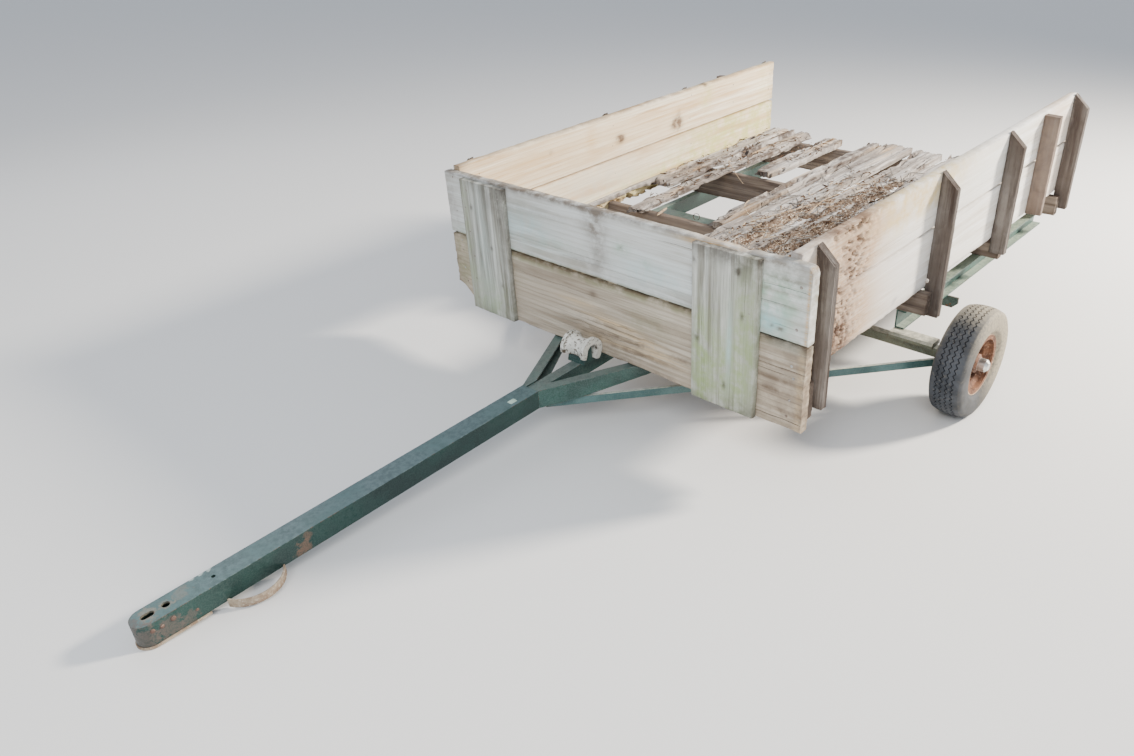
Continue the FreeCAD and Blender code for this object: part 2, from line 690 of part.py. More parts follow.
def hub(sign):
    """Hub barrel with rounded ends and a dust cap, bored for the spindle."""
    centre, out = wheel_place(sign)
    half = HUB_LONG / 2
    bore = SPINDLE_R + HUB_CLEARANCE
    profile = [
        (bore, -half),
        (HUB_R - HUB_TAPER, -half),
        (HUB_R, -half + HUB_TAPER),
        (HUB_R, half - HUB_TAPER),
        (CAP_R, half),
        (CAP_R, half + CAP_LONG - CAP_ROUND),
        (CAP_R - CAP_ROUND, half + CAP_LONG),
        (0, half + CAP_LONG),
        (0, half + CAP_WALL),
        (bore, half + CAP_WALL),
    ]
    return turned(profile, centre, out)


def build():
    pieces = headboard()
    for name, back, height in SILLS:
        pieces[name] = sill(back, height)
    for place, row in enumerate(PLANKS):
        pieces["deck_plank_%d" % (place + 1)] = plank(place, *row)
    pieces["tongue"] = askew(tongue())
    pieces["tongue_nose_lip"] = askew(nose_lip())
    pieces["tongue_spine"] = askew(spine())
    pieces["tongue_strap"] = askew(strap())
    pieces["saddle"] = askew(saddle())
    pieces["saddle_post"] = askew(saddle_post())
    pieces["frame_cross_channel"] = cross_channel()
    pieces["axle_bar"] = axle_bar()
    for word, sign in (("left", 1), ("right", -1)):
        pieces["side_%s_lower" % word], pieces["side_%s_upper" % word] = side(sign)
        pieces["stakes_" + word] = stakes(sign)
        pieces["fork_arm_" + word] = askew(fork_arm(sign))
        pieces["brace_" + word] = brace(sign)
        pieces["rail_" + word] = rail(sign)
        pieces["rail_hanger_" + word] = rail_hanger(sign)
        pieces["axle_seat_" + word] = axle_seat(sign)
        pieces["spindle_" + word] = spindle(sign)
        pieces["tyre_" + word] = tyre(sign)
        pieces["rim_" + word] = rim(sign)
        pieces["hub_" + word] = hub(sign)
    return pieces


def parked(pieces):
    """Pitch every piece nose down and bring the box's bottom centre to the origin."""
    for shape in pieces.values():
        shape.rotate(V(AXLE_X, 0, AXLE_Z), V(0, 1, 0), PITCH)
    box = Part.makeCompound(list(pieces.values())).optimalBoundingBox(False, False)
    shift = V(-(box.XMin + box.XMax) / 2, -(box.YMin + box.YMax) / 2, TYRE_R - AXLE_Z)
    for shape in pieces.values():
        shape.translate(shift)
    print("pitch %.3f deg, shift %.2f %.2f %.2f" % (PITCH, shift.x, shift.y, shift.z))
    print("box x %.1f, y %.1f, z %.2f to %.1f" % (box.XLength, box.YLength, box.ZMin + shift.z, box.ZMax + shift.z))
    return pieces


def main():
    os.makedirs("parts", exist_ok=True)
    for name, shape in parked(build()).items():
        shape.exportStep("parts/%s.step" % name)


main()
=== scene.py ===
import json
import math
import random

import bpy
from mathutils import Matrix, Vector, noise


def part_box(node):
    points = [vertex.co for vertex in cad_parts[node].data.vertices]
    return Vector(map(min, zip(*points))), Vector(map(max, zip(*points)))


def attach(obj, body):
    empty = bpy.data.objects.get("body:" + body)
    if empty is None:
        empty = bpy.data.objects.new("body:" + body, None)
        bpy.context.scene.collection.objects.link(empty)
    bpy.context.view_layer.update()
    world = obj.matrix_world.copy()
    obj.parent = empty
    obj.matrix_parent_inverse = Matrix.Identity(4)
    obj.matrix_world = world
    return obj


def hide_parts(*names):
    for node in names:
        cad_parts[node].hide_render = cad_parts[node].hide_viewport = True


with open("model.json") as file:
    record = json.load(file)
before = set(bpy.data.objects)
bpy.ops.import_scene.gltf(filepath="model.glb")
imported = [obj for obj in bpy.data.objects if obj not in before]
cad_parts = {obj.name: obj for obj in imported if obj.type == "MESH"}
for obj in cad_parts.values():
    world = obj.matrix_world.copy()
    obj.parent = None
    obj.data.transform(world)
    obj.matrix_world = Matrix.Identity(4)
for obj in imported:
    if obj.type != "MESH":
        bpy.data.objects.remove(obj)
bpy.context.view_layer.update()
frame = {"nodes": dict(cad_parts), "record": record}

# Old utility trailer: weathered planks on a green steel frame, parked on two tyres and its tongue.
# Lengths are in metres, but for tables that say millimetres, and colours on the usual 0 to 255 scale.
# The boards are rebuilt here with worn edges, cracks and broken ends, each inside the box of its own
# solid, and the steel keeps its solids with better surfaces.

NODES = frame["nodes"]
X, Y, Z = 0, 1, 2

# Camera: the photograph's own viewpoint
CAMERA_PLACE = (2.4703, 2.0208, 1.6518)
CAMERA_TILT = 62.67
CAMERA_ROLL = 0.69
CAMERA_TURN = 134.64
CAMERA_LENS = 27.8
CAMERA_SENSOR = 36.0


# The bed's own frame, square to the boards, and the tongue's frame, a little askew in it
def mount(name):
    return next(m for m in frame["record"]["mounts"] if m["name"] == name)


def points_in(node, space):
    back = space.inverted()
    return [back @ v.co for v in NODES[node].data.vertices]


def corners(points):
    """Lowest and highest corner of some points."""
    return [Vector([pick(p[i] for p in points) for i in (X, Y, Z)]) for pick in (min, max)]


def box_in(node, space):
    return corners(points_in(node, space))


def bed_space():
    up = mount("deck_surface")["axis"]
    tilt = Matrix.Rotation(math.atan2(up[X], up[Z]), 4, "Y")
    low, high = box_in("headboard_lower", tilt)
    return tilt @ Matrix.Translation((high.x, 0.0, low.z))


def tongue_space():
    back = BED.inverted()
    pin = back @ Vector(mount("hitch_pin_hole")["pos_m"])
    small = back @ Vector(mount("small_pin_hole")["pos_m"])
    yaw = math.atan2(pin.y - small.y, pin.x - small.x)
    shift = small.y - small.x * math.tan(yaw)
    return BED @ Matrix.Translation((0.0, shift, 0.0)) @ Matrix.Rotation(yaw, 4, "Z")


BED = bed_space()
TONGUE = tongue_space()


# Small helpers
def smooth(value, low, high):
    """0 below low, 1 above high, eased between; low may be the larger one."""
    t = min(1.0, max(0.0, (value - low) / (high - low)))
    return t * t * (3.0 - 2.0 * t)


def wobble(a, b=0.0, c=0.0):
    return noise.noise(Vector((a, b, c)))


def linear(colour):
    """A colour from the 0 to 255 scale, as Blender wants it."""
    shares = [v / 255.0 for v in colour]
    return tuple(v / 12.92 if v <= 0.04045 else ((v + 0.055) / 1.055) ** 2.4 for v in shares) + (1.0,)


def bands(rings, sides, first=0, closed=False):
    """Faces between rings of points that follow each other; closed joins the last ring to the first."""
    faces = []
    for i in range(rings if closed else rings - 1):
        a, b = first + i * sides, first + (i + 1) % rings * sides
        for k in range(sides):
            m = (k + 1) % sides
            faces.append((a + k, a + m, b + m, b + k))
    return faces


def merge(parts):
    """One mesh from several, each given as its points and its faces."""
    verts, faces = [], []
    for more_verts, more_faces in parts:
        base = len(verts)
        verts += more_verts
        faces += [tuple(base + k for k in face) for face in more_faces]
    return verts, faces


def mesh_object(name, verts, faces, material, space=None, sharp=45.0):
    mesh = bpy.data.meshes.new(name)
    mesh.from_pydata(verts, [], faces)
    mesh.update()
    mesh.polygons.foreach_set("use_smooth", [True] * len(mesh.polygons))
    mesh.set_sharp_from_angle(angle=math.radians(sharp))
    mesh.materials.append(material)
    obj = bpy.data.objects.new(name, mesh)
    bpy.context.collection.objects.link(obj)
    if space:
        obj.matrix_world = space
    return obj


def piece(name, verts, faces, material, slot, space=BED, sharp=60.0, body="chassis"):
    """A piece of the trailer that rides on one of its bodies."""
    obj = mesh_object(name, verts, faces, material, space, sharp)
    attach(obj, body)
    return obj


def give_points(obj, name, kind, key, rows):
    """Gives every point of a mesh its row of values, for the materials."""
    layer = obj.data.attributes.new(name, kind, "POINT")
    layer.data.foreach_set(key, [v for row in rows for v in row])


# Materials
MIX_FACTOR = 0
MIX_A = 6
MIX_B = 7
MIX_RESULT = 2


class Shader:
    """A material with one principled shader and short calls for the nodes that feed it."""

    def __init__(self, name, roughness, metallic=0.0, specular=0.3):
        self.material = bpy.data.materials.new(name)
        self.material.use_nodes = True
        self.tree = self.material.node_tree
        self.tree.nodes.clear()
        plain = {"Roughness": roughness, "Metallic": metallic, "Specular IOR Level": specular}
        self.surface = self.add("BsdfPrincipled", plain)
        self.add("OutputMaterial", {"Surface": self.surface.outputs[0]})

    def add(self, kind, sources=None, **settings):
        """A node with its settings, and its sockets linked to outputs or set to plain values."""
        node = self.tree.nodes.new("ShaderNode" + kind)
        for key, value in settings.items():
            setattr(node, key, value)
        for key, source in (sources or {}).items():
            self.join(source, node.inputs[key])
        return node

    def join(self, source, socket):
        if isinstance(source, bpy.types.NodeSocket):
            self.tree.links.new(source, socket)
        else:
            socket.default_value = source

    def attribute(self, name):
        return self.add("Attribute", attribute_name=name).outputs

    def place(self):
        return self.add("TexCoord").outputs["Object"]

    def split(self, colour):
        return self.add("SeparateColor", {0: colour}).outputs

    def axis(self, vector, name):
        return self.add("SeparateXYZ", {0: vector}).outputs[name]

    def stretch(self, vector, scale):
        return self.add("VectorMath", {0: vector, 1: scale}, operation="MULTIPLY").outputs[0]

    def noise(self, vector, scale, detail=4.0, roughness=0.6, distortion=0.0):
        sources = {"Vector": vector, "Scale": scale, "Detail": detail, "Roughness": roughness}
        return self.add("TexNoise", {**sources, "Distortion": distortion}).outputs["Fac"]

    def cells(self, vector, scale):
        return self.add("TexVoronoi", {"Vector": vector, "Scale": scale}).outputs

    def span(self, value, low, high, start=0.0, end=1.0):
        """Maps low..high to start..end with eased ends."""
        sources = {"Value": value, "From Min": low, "From Max": high, "To Min": start, "To Max": end}
        return self.add("MapRange", sources, interpolation_type="SMOOTHSTEP").outputs["Result"]

    def math(self, operation, a, b=0.0):
        return self.add("Math", {0: a, 1: b}, operation=operation).outputs[0]

    def times(self, a, b):
        return self.math("MULTIPLY", a, b)

    def plus(self, a, b):
        return self.math("ADD", a, b)

    def minus(self, a, b):
        return self.math("SUBTRACT", a, b)

    def mix(self, factor, a, b):
        """Blends two colours, each an output or on the 0 to 255 scale."""
        a, b = (linear(colour) if isinstance(colour, tuple) else colour for colour in (a, b))
        return self.add("Mix", {MIX_FACTOR: factor, MIX_A: a, MIX_B: b}, data_type="RGBA").outputs[MIX_RESULT]

    def over(self, colour, tone, mask, share):
        """Lays a tone over a colour where the mask is high, at most to a share."""
        return self.mix(self.times(mask, share), colour, tone)

    def done(self, colour, height, strength, distance, rough=None):
        """Feeds the shader its colour, a bump from a height and its roughness, and gives the material."""
        bump = self.add("Bump", {"Strength": strength, "Distance": distance, "Height": height})
        self.join(colour, self.surface.inputs["Base Color"])
        self.join(bump.outputs[0], self.surface.inputs["Normal"])
        if rough:
            self.join(rough, self.surface.inputs["Roughness"])
        return self.material


def wood(
    name, dark, mid, light, knot_share=0.35, rings=0.5, lines_share=0.3, bump=0.3, rot=(58, 44, 35),
    moss=(128, 142, 92), veil_tone=(178, 200, 194), bare_tone=(212, 172, 118), bare_even=0.3,
):
    """Bare weathered softwood. The boards carry the grain's own coordinates and four wear channels:
    rot, green algae, bare splintered wood and a pale bluish wash."""
    s = Shader(name, 0.88, specular=0.2)
    grain = s.attribute("grain")["Vector"]
    wear = s.attribute("wear")
    rotten, algae, bare = s.split(wear["Color"])

    streak = s.noise(s.stretch(grain, (0.9, 20.0, 20.0)), 2.0, 4.0, 0.55, 0.4)
    fibre = s.noise(s.stretch(grain, (3.0, 95.0, 95.0)), 2.0)
    lines = s.noise(s.stretch(grain, (4.0, 330.0, 330.0)), 2.0, 3.0)
    blotch = s.noise(s.stretch(grain, (1.0, 2.4, 2.4)), 2.6, 3.0, 0.55)
    wave = {"Vector": s.stretch(grain, (0.16, 1.0, 0.8)), "Scale": 15.0, "Distortion": 4.5}
    wave.update({"Detail": 2.0, "Detail Scale": 0.7})
    late = s.span(s.add("TexWave", wave, bands_direction="Y", wave_profile="SAW").outputs["Fac"], 0.5, 1.0)

    colour = s.mix(s.span(streak, 0.32, 0.68), dark, light)
    colour = s.mix(s.span(blotch, 0.38, 0.64, 0.1, 0.8), colour, mid)
    colour = s.over(colour, dark, late, rings * 0.45)
    colour = s.over(colour, dark, s.span(fibre, 0.46, 0.3), 0.35)
    colour = s.over(colour, (58, 48, 40), s.span(lines, 0.42, 0.28), lines_share)

    # Knots with a halo, in a share of the cells
    cell = s.cells(s.stretch(grain, (3.0, 5.5, 2.0)), 1.0)
    chosen = s.math("LESS_THAN", s.split(cell["Color"])[0], knot_share)
    core = s.times(s.span(cell["Distance"], 0.075, 0.045), chosen)
    halo = s.times(s.span(cell["Distance"], 0.2, 0.05), chosen)
    colour = s.over(colour, (134, 108, 80), halo, 0.3)
    colour = s.over(colour, (84, 62, 46), core, 0.75)

    # The four wear channels
    patch = s.noise(grain, 17.0, 6.0, 0.68)
    green = s.times(s.times(algae, s.span(patch, 0.28, 0.66)), s.span(streak, 0.25, 0.6, 0.5, 1.0))
    colour = s.over(colour, moss, green, 0.7)
    colour = s.mix(s.times(wear["Alpha"], s.span(patch, 0.3, 0.66, 0.35, 1.0)), colour, veil_tone)
    colour = s.mix(s.times(bare, s.span(fibre, 0.4, 0.58, bare_even, 1.0)), colour, bare_tone)
    decay = s.times(rotten, s.span(patch, 0.32, 0.6, 0.2, 1.0))
    colour = s.over(colour, rot, decay, 0.85)

    height = s.plus(s.times(fibre, 0.7), s.times(s.span(lines, 0.26, 0.46), 0.4))
    height = s.minus(height, s.times(late, 0.15 * rings))
    height = s.plus(height, s.times(s.times(decay, patch), 3.0))
    return s.done(colour, height, bump, 0.0022, s.span(fibre, 0.3, 0.7, 0.95, 0.8))


def crumbled(name, dark, mid, light):
    """Rotten crumbs: cell-sized flecks of three tones with a rough lumpy surface."""
    s = Shader(name, 0.95, specular=0.1)
    place = s.place()
    flecks = s.cells(s.stretch(place, (0.4, 1.0, 1.0)), 230.0)
    tone = s.split(flecks["Color"])
    colour = s.mix(s.span(tone[0], 0.1, 0.9), dark, mid)
    colour = s.mix(s.span(tone[1], 0.8, 0.96), colour, light)
    colour = s.mix(s.span(s.noise(place, 16.0), 0.42, 0.62, 0.0, 0.6), colour, dark)
    height = s.minus(s.noise(place, 260.0, 4.0, 0.7), s.times(flecks["Distance"], 0.9))
    return s.done(colour, height, 0.8, 0.003)


def edge_mask(s, radius):
    """High where a surface bends within the radius, as on the worn corners of steel."""
    bevel = s.add("Bevel", {"Radius": radius}, samples=4).outputs[0]
    normal = s.add("NewGeometry").outputs["Normal"]
    dot = s.add("VectorMath", {0: bevel, 1: normal}, operation="DOT_PRODUCT").outputs["Value"]
    return s.span(dot, 0.985, 0.86)


def upward(s):
    """High where the surface faces up, where dust lies and where the painted sunlight on the tops goes."""
    return s.span(s.axis(s.add("NewGeometry").outputs["Normal"], "Z"), 0.3, 0.95)


def old_paint(
    name, paint, faded, chip_level=0.64, dust_and_top_light=0.35, dust_and_top_light_tone=(150, 152, 146), marks=(), speckle=0.16,
):
    """Brushed dark green paint, faded, chipped to rust along edges and in spots. The marks are worn or
    rusty spots, rows of: place, reach, tone, strength."""
    s = Shader(name, 0.5, specular=0.4)
    place = s.place()
    big = s.noise(place, 6.0, 5.0)
    fine = s.noise(place, 55.0, 6.0, 0.7)
    tiny = s.noise(place, 240.0, 3.0)
    edge = edge_mask(s, 0.004)
    mask = s.plus(s.plus(s.times(big, 0.5), s.times(fine, 0.5)), s.times(edge, 0.13))
    chips = s.span(mask, chip_level, chip_level + 0.025)
    colour = s.mix(s.span(big, 0.35, 0.65), paint, faded)
    colour = s.mix(s.span(tiny, 0.35, 0.7, 0.0, speckle), colour, (150, 168, 160))
    colour = s.over(colour, (150, 166, 158), s.times(edge, s.span(fine, 0.42, 0.62)), 0.55)
    # Faces that point up get a pale tone: partly dust, partly painted sunlight on the tops.
    dust_and_painted_light = s.times(upward(s), s.span(fine, 0.32, 0.70, 0.42, 1.0))
    colour = s.over(colour, dust_and_top_light_tone, dust_and_painted_light, dust_and_top_light)
    for spot, reach, tone, strength in marks:
        away = s.add("VectorMath", {0: place, 1: spot}, operation="DISTANCE").outputs["Value"]
        uneven = s.plus(away, s.times(fine, 4.0 * reach))
        kept = s.times(s.span(uneven, 3.1 * reach, 2.6 * reach), s.span(tiny, 0.3, 0.6, 0.5, 1.0))
        colour = s.over(colour, tone, kept, strength)
    rust = s.mix(s.span(tiny, 0.35, 0.65), (72, 48, 36), (122, 86, 62))
    height = s.minus(s.times(fine, 0.25), s.times(chips, 0.6))
    height = s.plus(height, s.times(tiny, 0.12))
    rough = s.span(mask, 0.5, chip_level + 0.02, 0.42, 0.9)
    return s.done(s.mix(chips, colour, rust), height, 0.5, 0.0012, rough)


def rusty(name, base, deep, light, metallic=0.2):
    s = Shader(name, 0.82, metallic)
    place = s.place()
    big = s.noise(place, 14.0, 5.0, 0.65)
    fine = s.noise(place, 130.0, 6.0, 0.7)
    colour = s.mix(s.span(big, 0.35, 0.62), base, deep)
    colour = s.mix(s.span(fine, 0.5, 0.72), colour, light)
    rough = s.span(fine, 0.3, 0.7, 0.7, 0.95)
    return s.done(colour, s.plus(fine, s.times(big, 0.5)), 0.5, 0.0012, rough)


def cast_white(name):
    """Old white paint on a sand casting, pitted through to dark metal."""
    s = Shader(name, 0.6, specular=0.35)
    place = s.place()
    pits = s.noise(place, 85.0, 5.0, 0.7)
    big = s.noise(place, 22.0)
    grit = s.noise(place, 380.0, 3.0)
    mask = s.plus(s.times(pits, 0.7), s.times(big, 0.3))
    mask = s.plus(mask, s.times(edge_mask(s, 0.0035), 0.07))
    worn = s.span(mask, 0.535, 0.565)
    colour = s.mix(s.span(big, 0.35, 0.65), (196, 193, 182), (224, 221, 210))
    colour = s.mix(worn, colour, s.mix(s.span(grit, 0.4, 0.6), (62, 60, 56), (120, 104, 84)))
    return s.done(colour, s.minus(s.times(grit, 0.3), s.times(worn, 0.7)), 0.6, 0.0012)


def old_rubber(name):
    """Dark tread and dusty sidewalls, told apart by the wear attribute. Its first channel is dust with
    painted sunlight on the wheel's top and painted shade on its front; its second is painted shade in the
    grooves.
    """
    s = Shader(name, 0.78, specular=0.35)
    place = s.place()
    wear = s.split(s.attribute("wear")["Color"])
    fine = s.noise(place, 90.0, 6.0, 0.7)
    big = s.noise(place, 16.0)
    colour = s.mix(s.span(big, 0.35, 0.65), (44, 48, 54), (66, 70, 76))
    # Pale tone from the first channel: dust, with painted sunlight on the top and painted shade on the front.
    colour = s.mix(s.times(wear[0], s.span(fine, 0.34, 0.6, 0.45, 0.95)), colour, (172, 160, 136))
    # Near black from the second channel: painted shade in the bottoms of the grooves.
    colour = s.mix(s.times(wear[1], s.span(fine, 0.35, 0.6, 0.5, 1.0)), colour, (24, 25, 27))
    colour = s.mix(s.span(fine, 0.55, 0.75, 0.0, 0.4), colour, (150, 140, 124))
    return s.done(colour, s.plus(fine, big), 0.35, 0.0009, s.span(fine, 0.3, 0.7, 0.7, 0.9))


def capped_hub(name, cap_from):
    """Rusty hub with a dull bright cap beyond a distance from the trailer's middle."""
    s = Shader(name, 0.5, specular=0.4)
    place = s.place()
    fine = s.noise(place, 160.0, 5.0, 0.65)
    big = s.noise(place, 34.0)
    cap = s.span(s.math("ABSOLUTE", s.axis(place, "Y")), cap_from - 0.001, cap_from + 0.001)
    bright = s.mix(s.span(big, 0.4, 0.62), (214, 214, 210), (160, 158, 152))
    bright = s.mix(s.span(fine, 0.58, 0.72), bright, (120, 88, 64))
    rust = s.mix(s.span(big, 0.35, 0.62), (128, 90, 68), (84, 58, 46))
    rust = s.mix(s.span(fine, 0.5, 0.72), rust, (166, 134, 110))
    s.join(s.times(cap, 0.8), s.surface.inputs["Metallic"])
    rough = s.span(s.plus(s.times(cap, -0.6), fine), 0.0, 0.7, 0.35, 0.85)
    return s.done(s.mix(cap, rust, bright), fine, 0.3, 0.0006, rough)


HEAD_UPPER = wood(
    "wood_head_upper", (172, 166, 152), (214, 215, 210), (226, 229, 226), 0.2, 0.6, 0.22,
    rot=(98, 80, 62), moss=(128, 168, 134), veil_tone=(162, 202, 204),
)
HEAD_LOWER = wood(
    "wood_head_lower", (146, 131, 112), (186, 172, 152), (208, 197, 178), 0.2, 0.9, 0.3,
    rot=(84, 64, 50), moss=(132, 138, 96), bare_tone=(212, 184, 142),
)
CLEAT = wood(
    "wood_cleat", (122, 116, 104), (182, 182, 170), (212, 212, 204), 0.0, 0.5, 0.6, 0.4,
    rot=(58, 46, 38), moss=(140, 164, 88),
)
SIDE_CREAM = wood(
    "wood_side_cream", (206, 172, 128), (234, 216, 184), (246, 236, 214), 0.0, 0.9, 0.18, 0.2,
    rot=(80, 52, 38), moss=(190, 192, 100), veil_tone=(206, 206, 200),
)
SIDE_PALE = wood(
    "wood_side_pale", (208, 199, 184), (232, 228, 221), (243, 241, 237), 0.15, 0.4, 0.14, 0.2,
    rot=(78, 50, 38), moss=(214, 180, 56), bare_tone=(190, 160, 130), bare_even=0.7,
)
STAKE = wood(
    "wood_stake", (58, 48, 43), (92, 83, 76), (136, 129, 122), 0.25, 0.5, 0.5, 0.4,
    veil_tone=(172, 150, 134),
)
DECK = wood(
    "wood_deck", (112, 98, 86), (170, 162, 154), (222, 218, 212), 0.1, 0.6, 0.7, 0.7, rot=(66, 50, 42),
)
SILL = wood("wood_sill", (74, 62, 55), (116, 102, 91), (156, 142, 128), 0.2, 0.4, 0.5, 0.4)
CRUMBS = crumbled("rotten_crumbs", (94, 76, 62), (148, 128, 110), (206, 192, 174))
SPLINTER_GREY = crumbled("splinter_grey", (112, 104, 96), (160, 154, 146), (206, 202, 194))
SPLINTER_BROWN = crumbled("splinter_brown", (62, 46, 36), (104, 80, 62), (150, 126, 104))
SPLINTER_PALE = crumbled("splinter_pale", (164, 138, 110), (198, 178, 150), (222, 208, 186))

# Worn and rusty spots of the tongue, in its own frame and in millimetres: place, reach, tone, strength
WORN = (142, 130, 114)
BROWNED = (88, 76, 69)
RUST_SPOT = (106, 82, 66)
PALE_CHIP = (172, 184, 178)
TONGUE_MARKS = (
    ((1745, 0, -2), 30, WORN, 0.55), ((1695, 0, -2), 19, WORN, 0.45), ((1650, -10, -2), 26, WORN, 0.3),
    ((1792, 0, -2), 34, BROWNED, 0.65), ((1775, 30, -50), 45, BROWNED, 0.75),
    ((1715, 38, -48), 40, BROWNED, 0.7), ((1665, 38, -56), 28, BROWNED, 0.6),
    ((1305, 38, -50), 26, RUST_SPOT, 0.85), ((1290, 38, -20), 16, RUST_SPOT, 0.6),
    ((1325, 38, -66), 18, RUST_SPOT, 0.7), ((1580, -38, -2), 10, PALE_CHIP, 0.9),
    ((1555, -38, -2), 9, PALE_CHIP, 0.9), ((1605, -38, -2), 8, PALE_CHIP, 0.8),
)


def tongue_marks():
    for spot, reach, tone, strength in TONGUE_MARKS:
        place = TONGUE @ Vector([v / 1000.0 for v in spot])
        yield tuple(place), reach / 1000.0, tone, strength


# The tongue's paler top is dust together with painted sunlight on the top face.
TONGUE_PAINT = old_paint(
    "tongue_paint", (10, 37, 34), (25, 57, 51), 0.66, 0.55, (112, 134, 136), tongue_marks(), 0.06,
)
LABEL = old_paint("label_film", (176, 206, 184), (196, 216, 200), 0.7, 0.2)
GREEN = old_paint("green_paint", (20, 48, 44), (44, 78, 70))
GREEN_RUSTY = old_paint("green_paint_rusty", (26, 48, 43), (56, 76, 66), 0.54, 0.3)
# The rails, the axle and the braces get a strong pale tone on faces that point up: dust together with painted
# sunlight on their tops.
GREEN_DUST_AND_SUNLIT_TOP = old_paint("green_paint_dust_and_sunlit_top", (24, 54, 48), (48, 84, 73), 0.66, 0.7, (180, 190, 168))
OLIVE = old_paint("olive_steel", (70, 72, 56), (112, 110, 88), 0.62, 0.9, (222, 216, 196))
TEAL = old_paint("teal_steel", (44, 76, 74), (78, 108, 106), 0.66, 0.9, (214, 212, 196))
BARE_STEEL = rusty("bare_steel", (168, 153, 132), (126, 104, 84), (200, 190, 172), 0.0)
RIM_RUST = rusty("rim_rust", (132, 92, 68), (86, 60, 48), (176, 142, 116))
RIM_DUST = rusty("rim_lip_dust", (178, 152, 126), (132, 104, 84), (214, 196, 172), 0.0)
RIVET_RUST = rusty("rivet_rust", (124, 100, 88), (92, 70, 60), (160, 138, 122), 0.1)
SEAT_RUST = rusty("dark_rust", (70, 48, 38), (44, 32, 28), (104, 78, 60))
NAIL = rusty("nail_heads", (168, 166, 160), (112, 94, 80), (204, 202, 196), 0.0)
WHITE_CAST = cast_white("white_casting")
RUBBER = old_rubber("old_rubber")
# How far the hub's cap reaches in from its outer end
CAP_LONG = 0.034
HUB = capped_hub("hub_and_cap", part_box("hub_left")[1].y - CAP_LONG)

# Mesh spacing of the boards, along and across, and the rounding of their edges
STEPS = (0.014, 0.0115)
EDGE_ROUND = 0.004
# Pits deeper than this turn dark, fully after so many metres more
PIT_CLEAN = 0.004
PIT_DARK_AFTER = 0.010
# Pits start where their noise passes this
PIT_START = 0.1
# How far rot reaches in from ends and edges
END_ROT = 0.03
EDGE_ROT = 0.008
# Cracks: free room beside one, least half opening, how they close before their ends and open after
CRACK_ROOM = 0.0008
CRACK_LEAST = 0.0002
CRACK_OUT = 0.02
CRACK_IN = 0.06


# Boards
def eaten(zones, seed, along=4.0, across=26.0):
    """Pits along the grain inside zones of: place along, place across, reach along, reach across, depth."""
    def pits(s, t):
        total = 0.0
        for place_s, place_t, reach_s, reach_t, deep in zones:
            d = ((s - place_s) / reach_s) ** 2 + ((t - place_t) / reach_t) ** 2
            if d < 4.0:
                rough = wobble(s * along, t * across, seed * 3.3)
                rough += 0.5 * wobble(s * along * 3.0, t * across * 2.2, seed)
                total += deep * math.exp(-d) * min(1.0, max(0.0, (rough - PIT_START) * 4.0))
        return total
    return pits


def random_cracks(seed, count, length, width, open_half=0.0011, deep=0.012):
    """Splits along the grain: place across, first and last place along, half opening, depth."""
    draw = random.Random(seed)
    rows = []
    for _ in range(count):
        across = draw.uniform(0.1, 0.9) * width
        first = draw.uniform(-0.2, 0.7) * length
        last = first + draw.uniform(0.15, 0.5) * length
        rows.append((across, first, last, open_half * draw.uniform(0.5, 1.6), deep * draw.uniform(0.4, 1.2)))
    kept = []
    for row in sorted(rows):
        if not kept or row[0] - kept[-1][0] > 0.012:
            kept.append(row)
    return kept


def apart(cracks, gap=0.010):
    """Leaves out cracks that would run into the one before."""
    kept = []
    for row in sorted(cracks):
        if not kept or row[0] - row[3] - kept[-1][0] - kept[-1][3] > gap:
            kept.append(row)
    return kept


def wavy(size, pitch, seed, power=1.0):
    """Loss of width along an edge, in metres, as a function of the place along the board."""
    def loss(s):
        value = 0.5 + 0.5 * wobble(s / pitch, seed * 3.7) + 0.25 * wobble(s / pitch * 3.1, seed * 1.9)
        return size * max(0.0, value) ** power
    return loss


def ragged(size, seed, pitch=0.016, keep=0.0):
    """Loss of length at a broken end, in metres, as a function of the place across and in depth."""
    def loss(t, n):
        broad = 0.5 + 0.5 * wobble(t / (pitch * 4.0), seed * 2.3)
        sharp = max(0.0, wobble(t / pitch, seed * 5.1, n * 14.0))
        return keep + size * max(0.0, 0.55 * broad + 0.75 * sharp)
    return loss


def patches(rows, metre=1000.0, full=100.0):
    """Wear from rows of: channel 0 to 3, place along and across, reach along and across, strength.
    The rows are in millimetres and percent, if nothing else is said."""
    rows = [(row[0], *[v / metre for v in row[1:5]], row[5] / full) for row in rows]

    def wear(s, t):
        total = [0.0, 0.0, 0.0, 0.0]
        for channel, along, across, reach_s, reach_t, strength in rows:
            d = ((s - along) / reach_s) ** 2 + ((t - across) / reach_t) ** 2
            if d < 6.0:
                total[channel] += strength * math.exp(-d)
        return total
    return wear


def levels(width, seed, count, drop):
    """A board split lengthwise into strips that lie a little deeper or higher."""
    draw = random.Random(seed)
    cuts = sorted(draw.uniform(0.08, 0.92) * width for _ in range(count))
    drops = [draw.uniform(0.0, drop) for _ in range(count + 1)]

    def pits(s, t):
        value = drops[0]
        for cut, deep in zip(cuts, drops[1:]):
            wave = cut + 0.006 * wobble(s * 4.0, cut * 90.0)
            value += (deep - value) * smooth(t, wave - 0.003, wave + 0.003)
        return value
    return pits


def nothing(*_):
    return 0.0


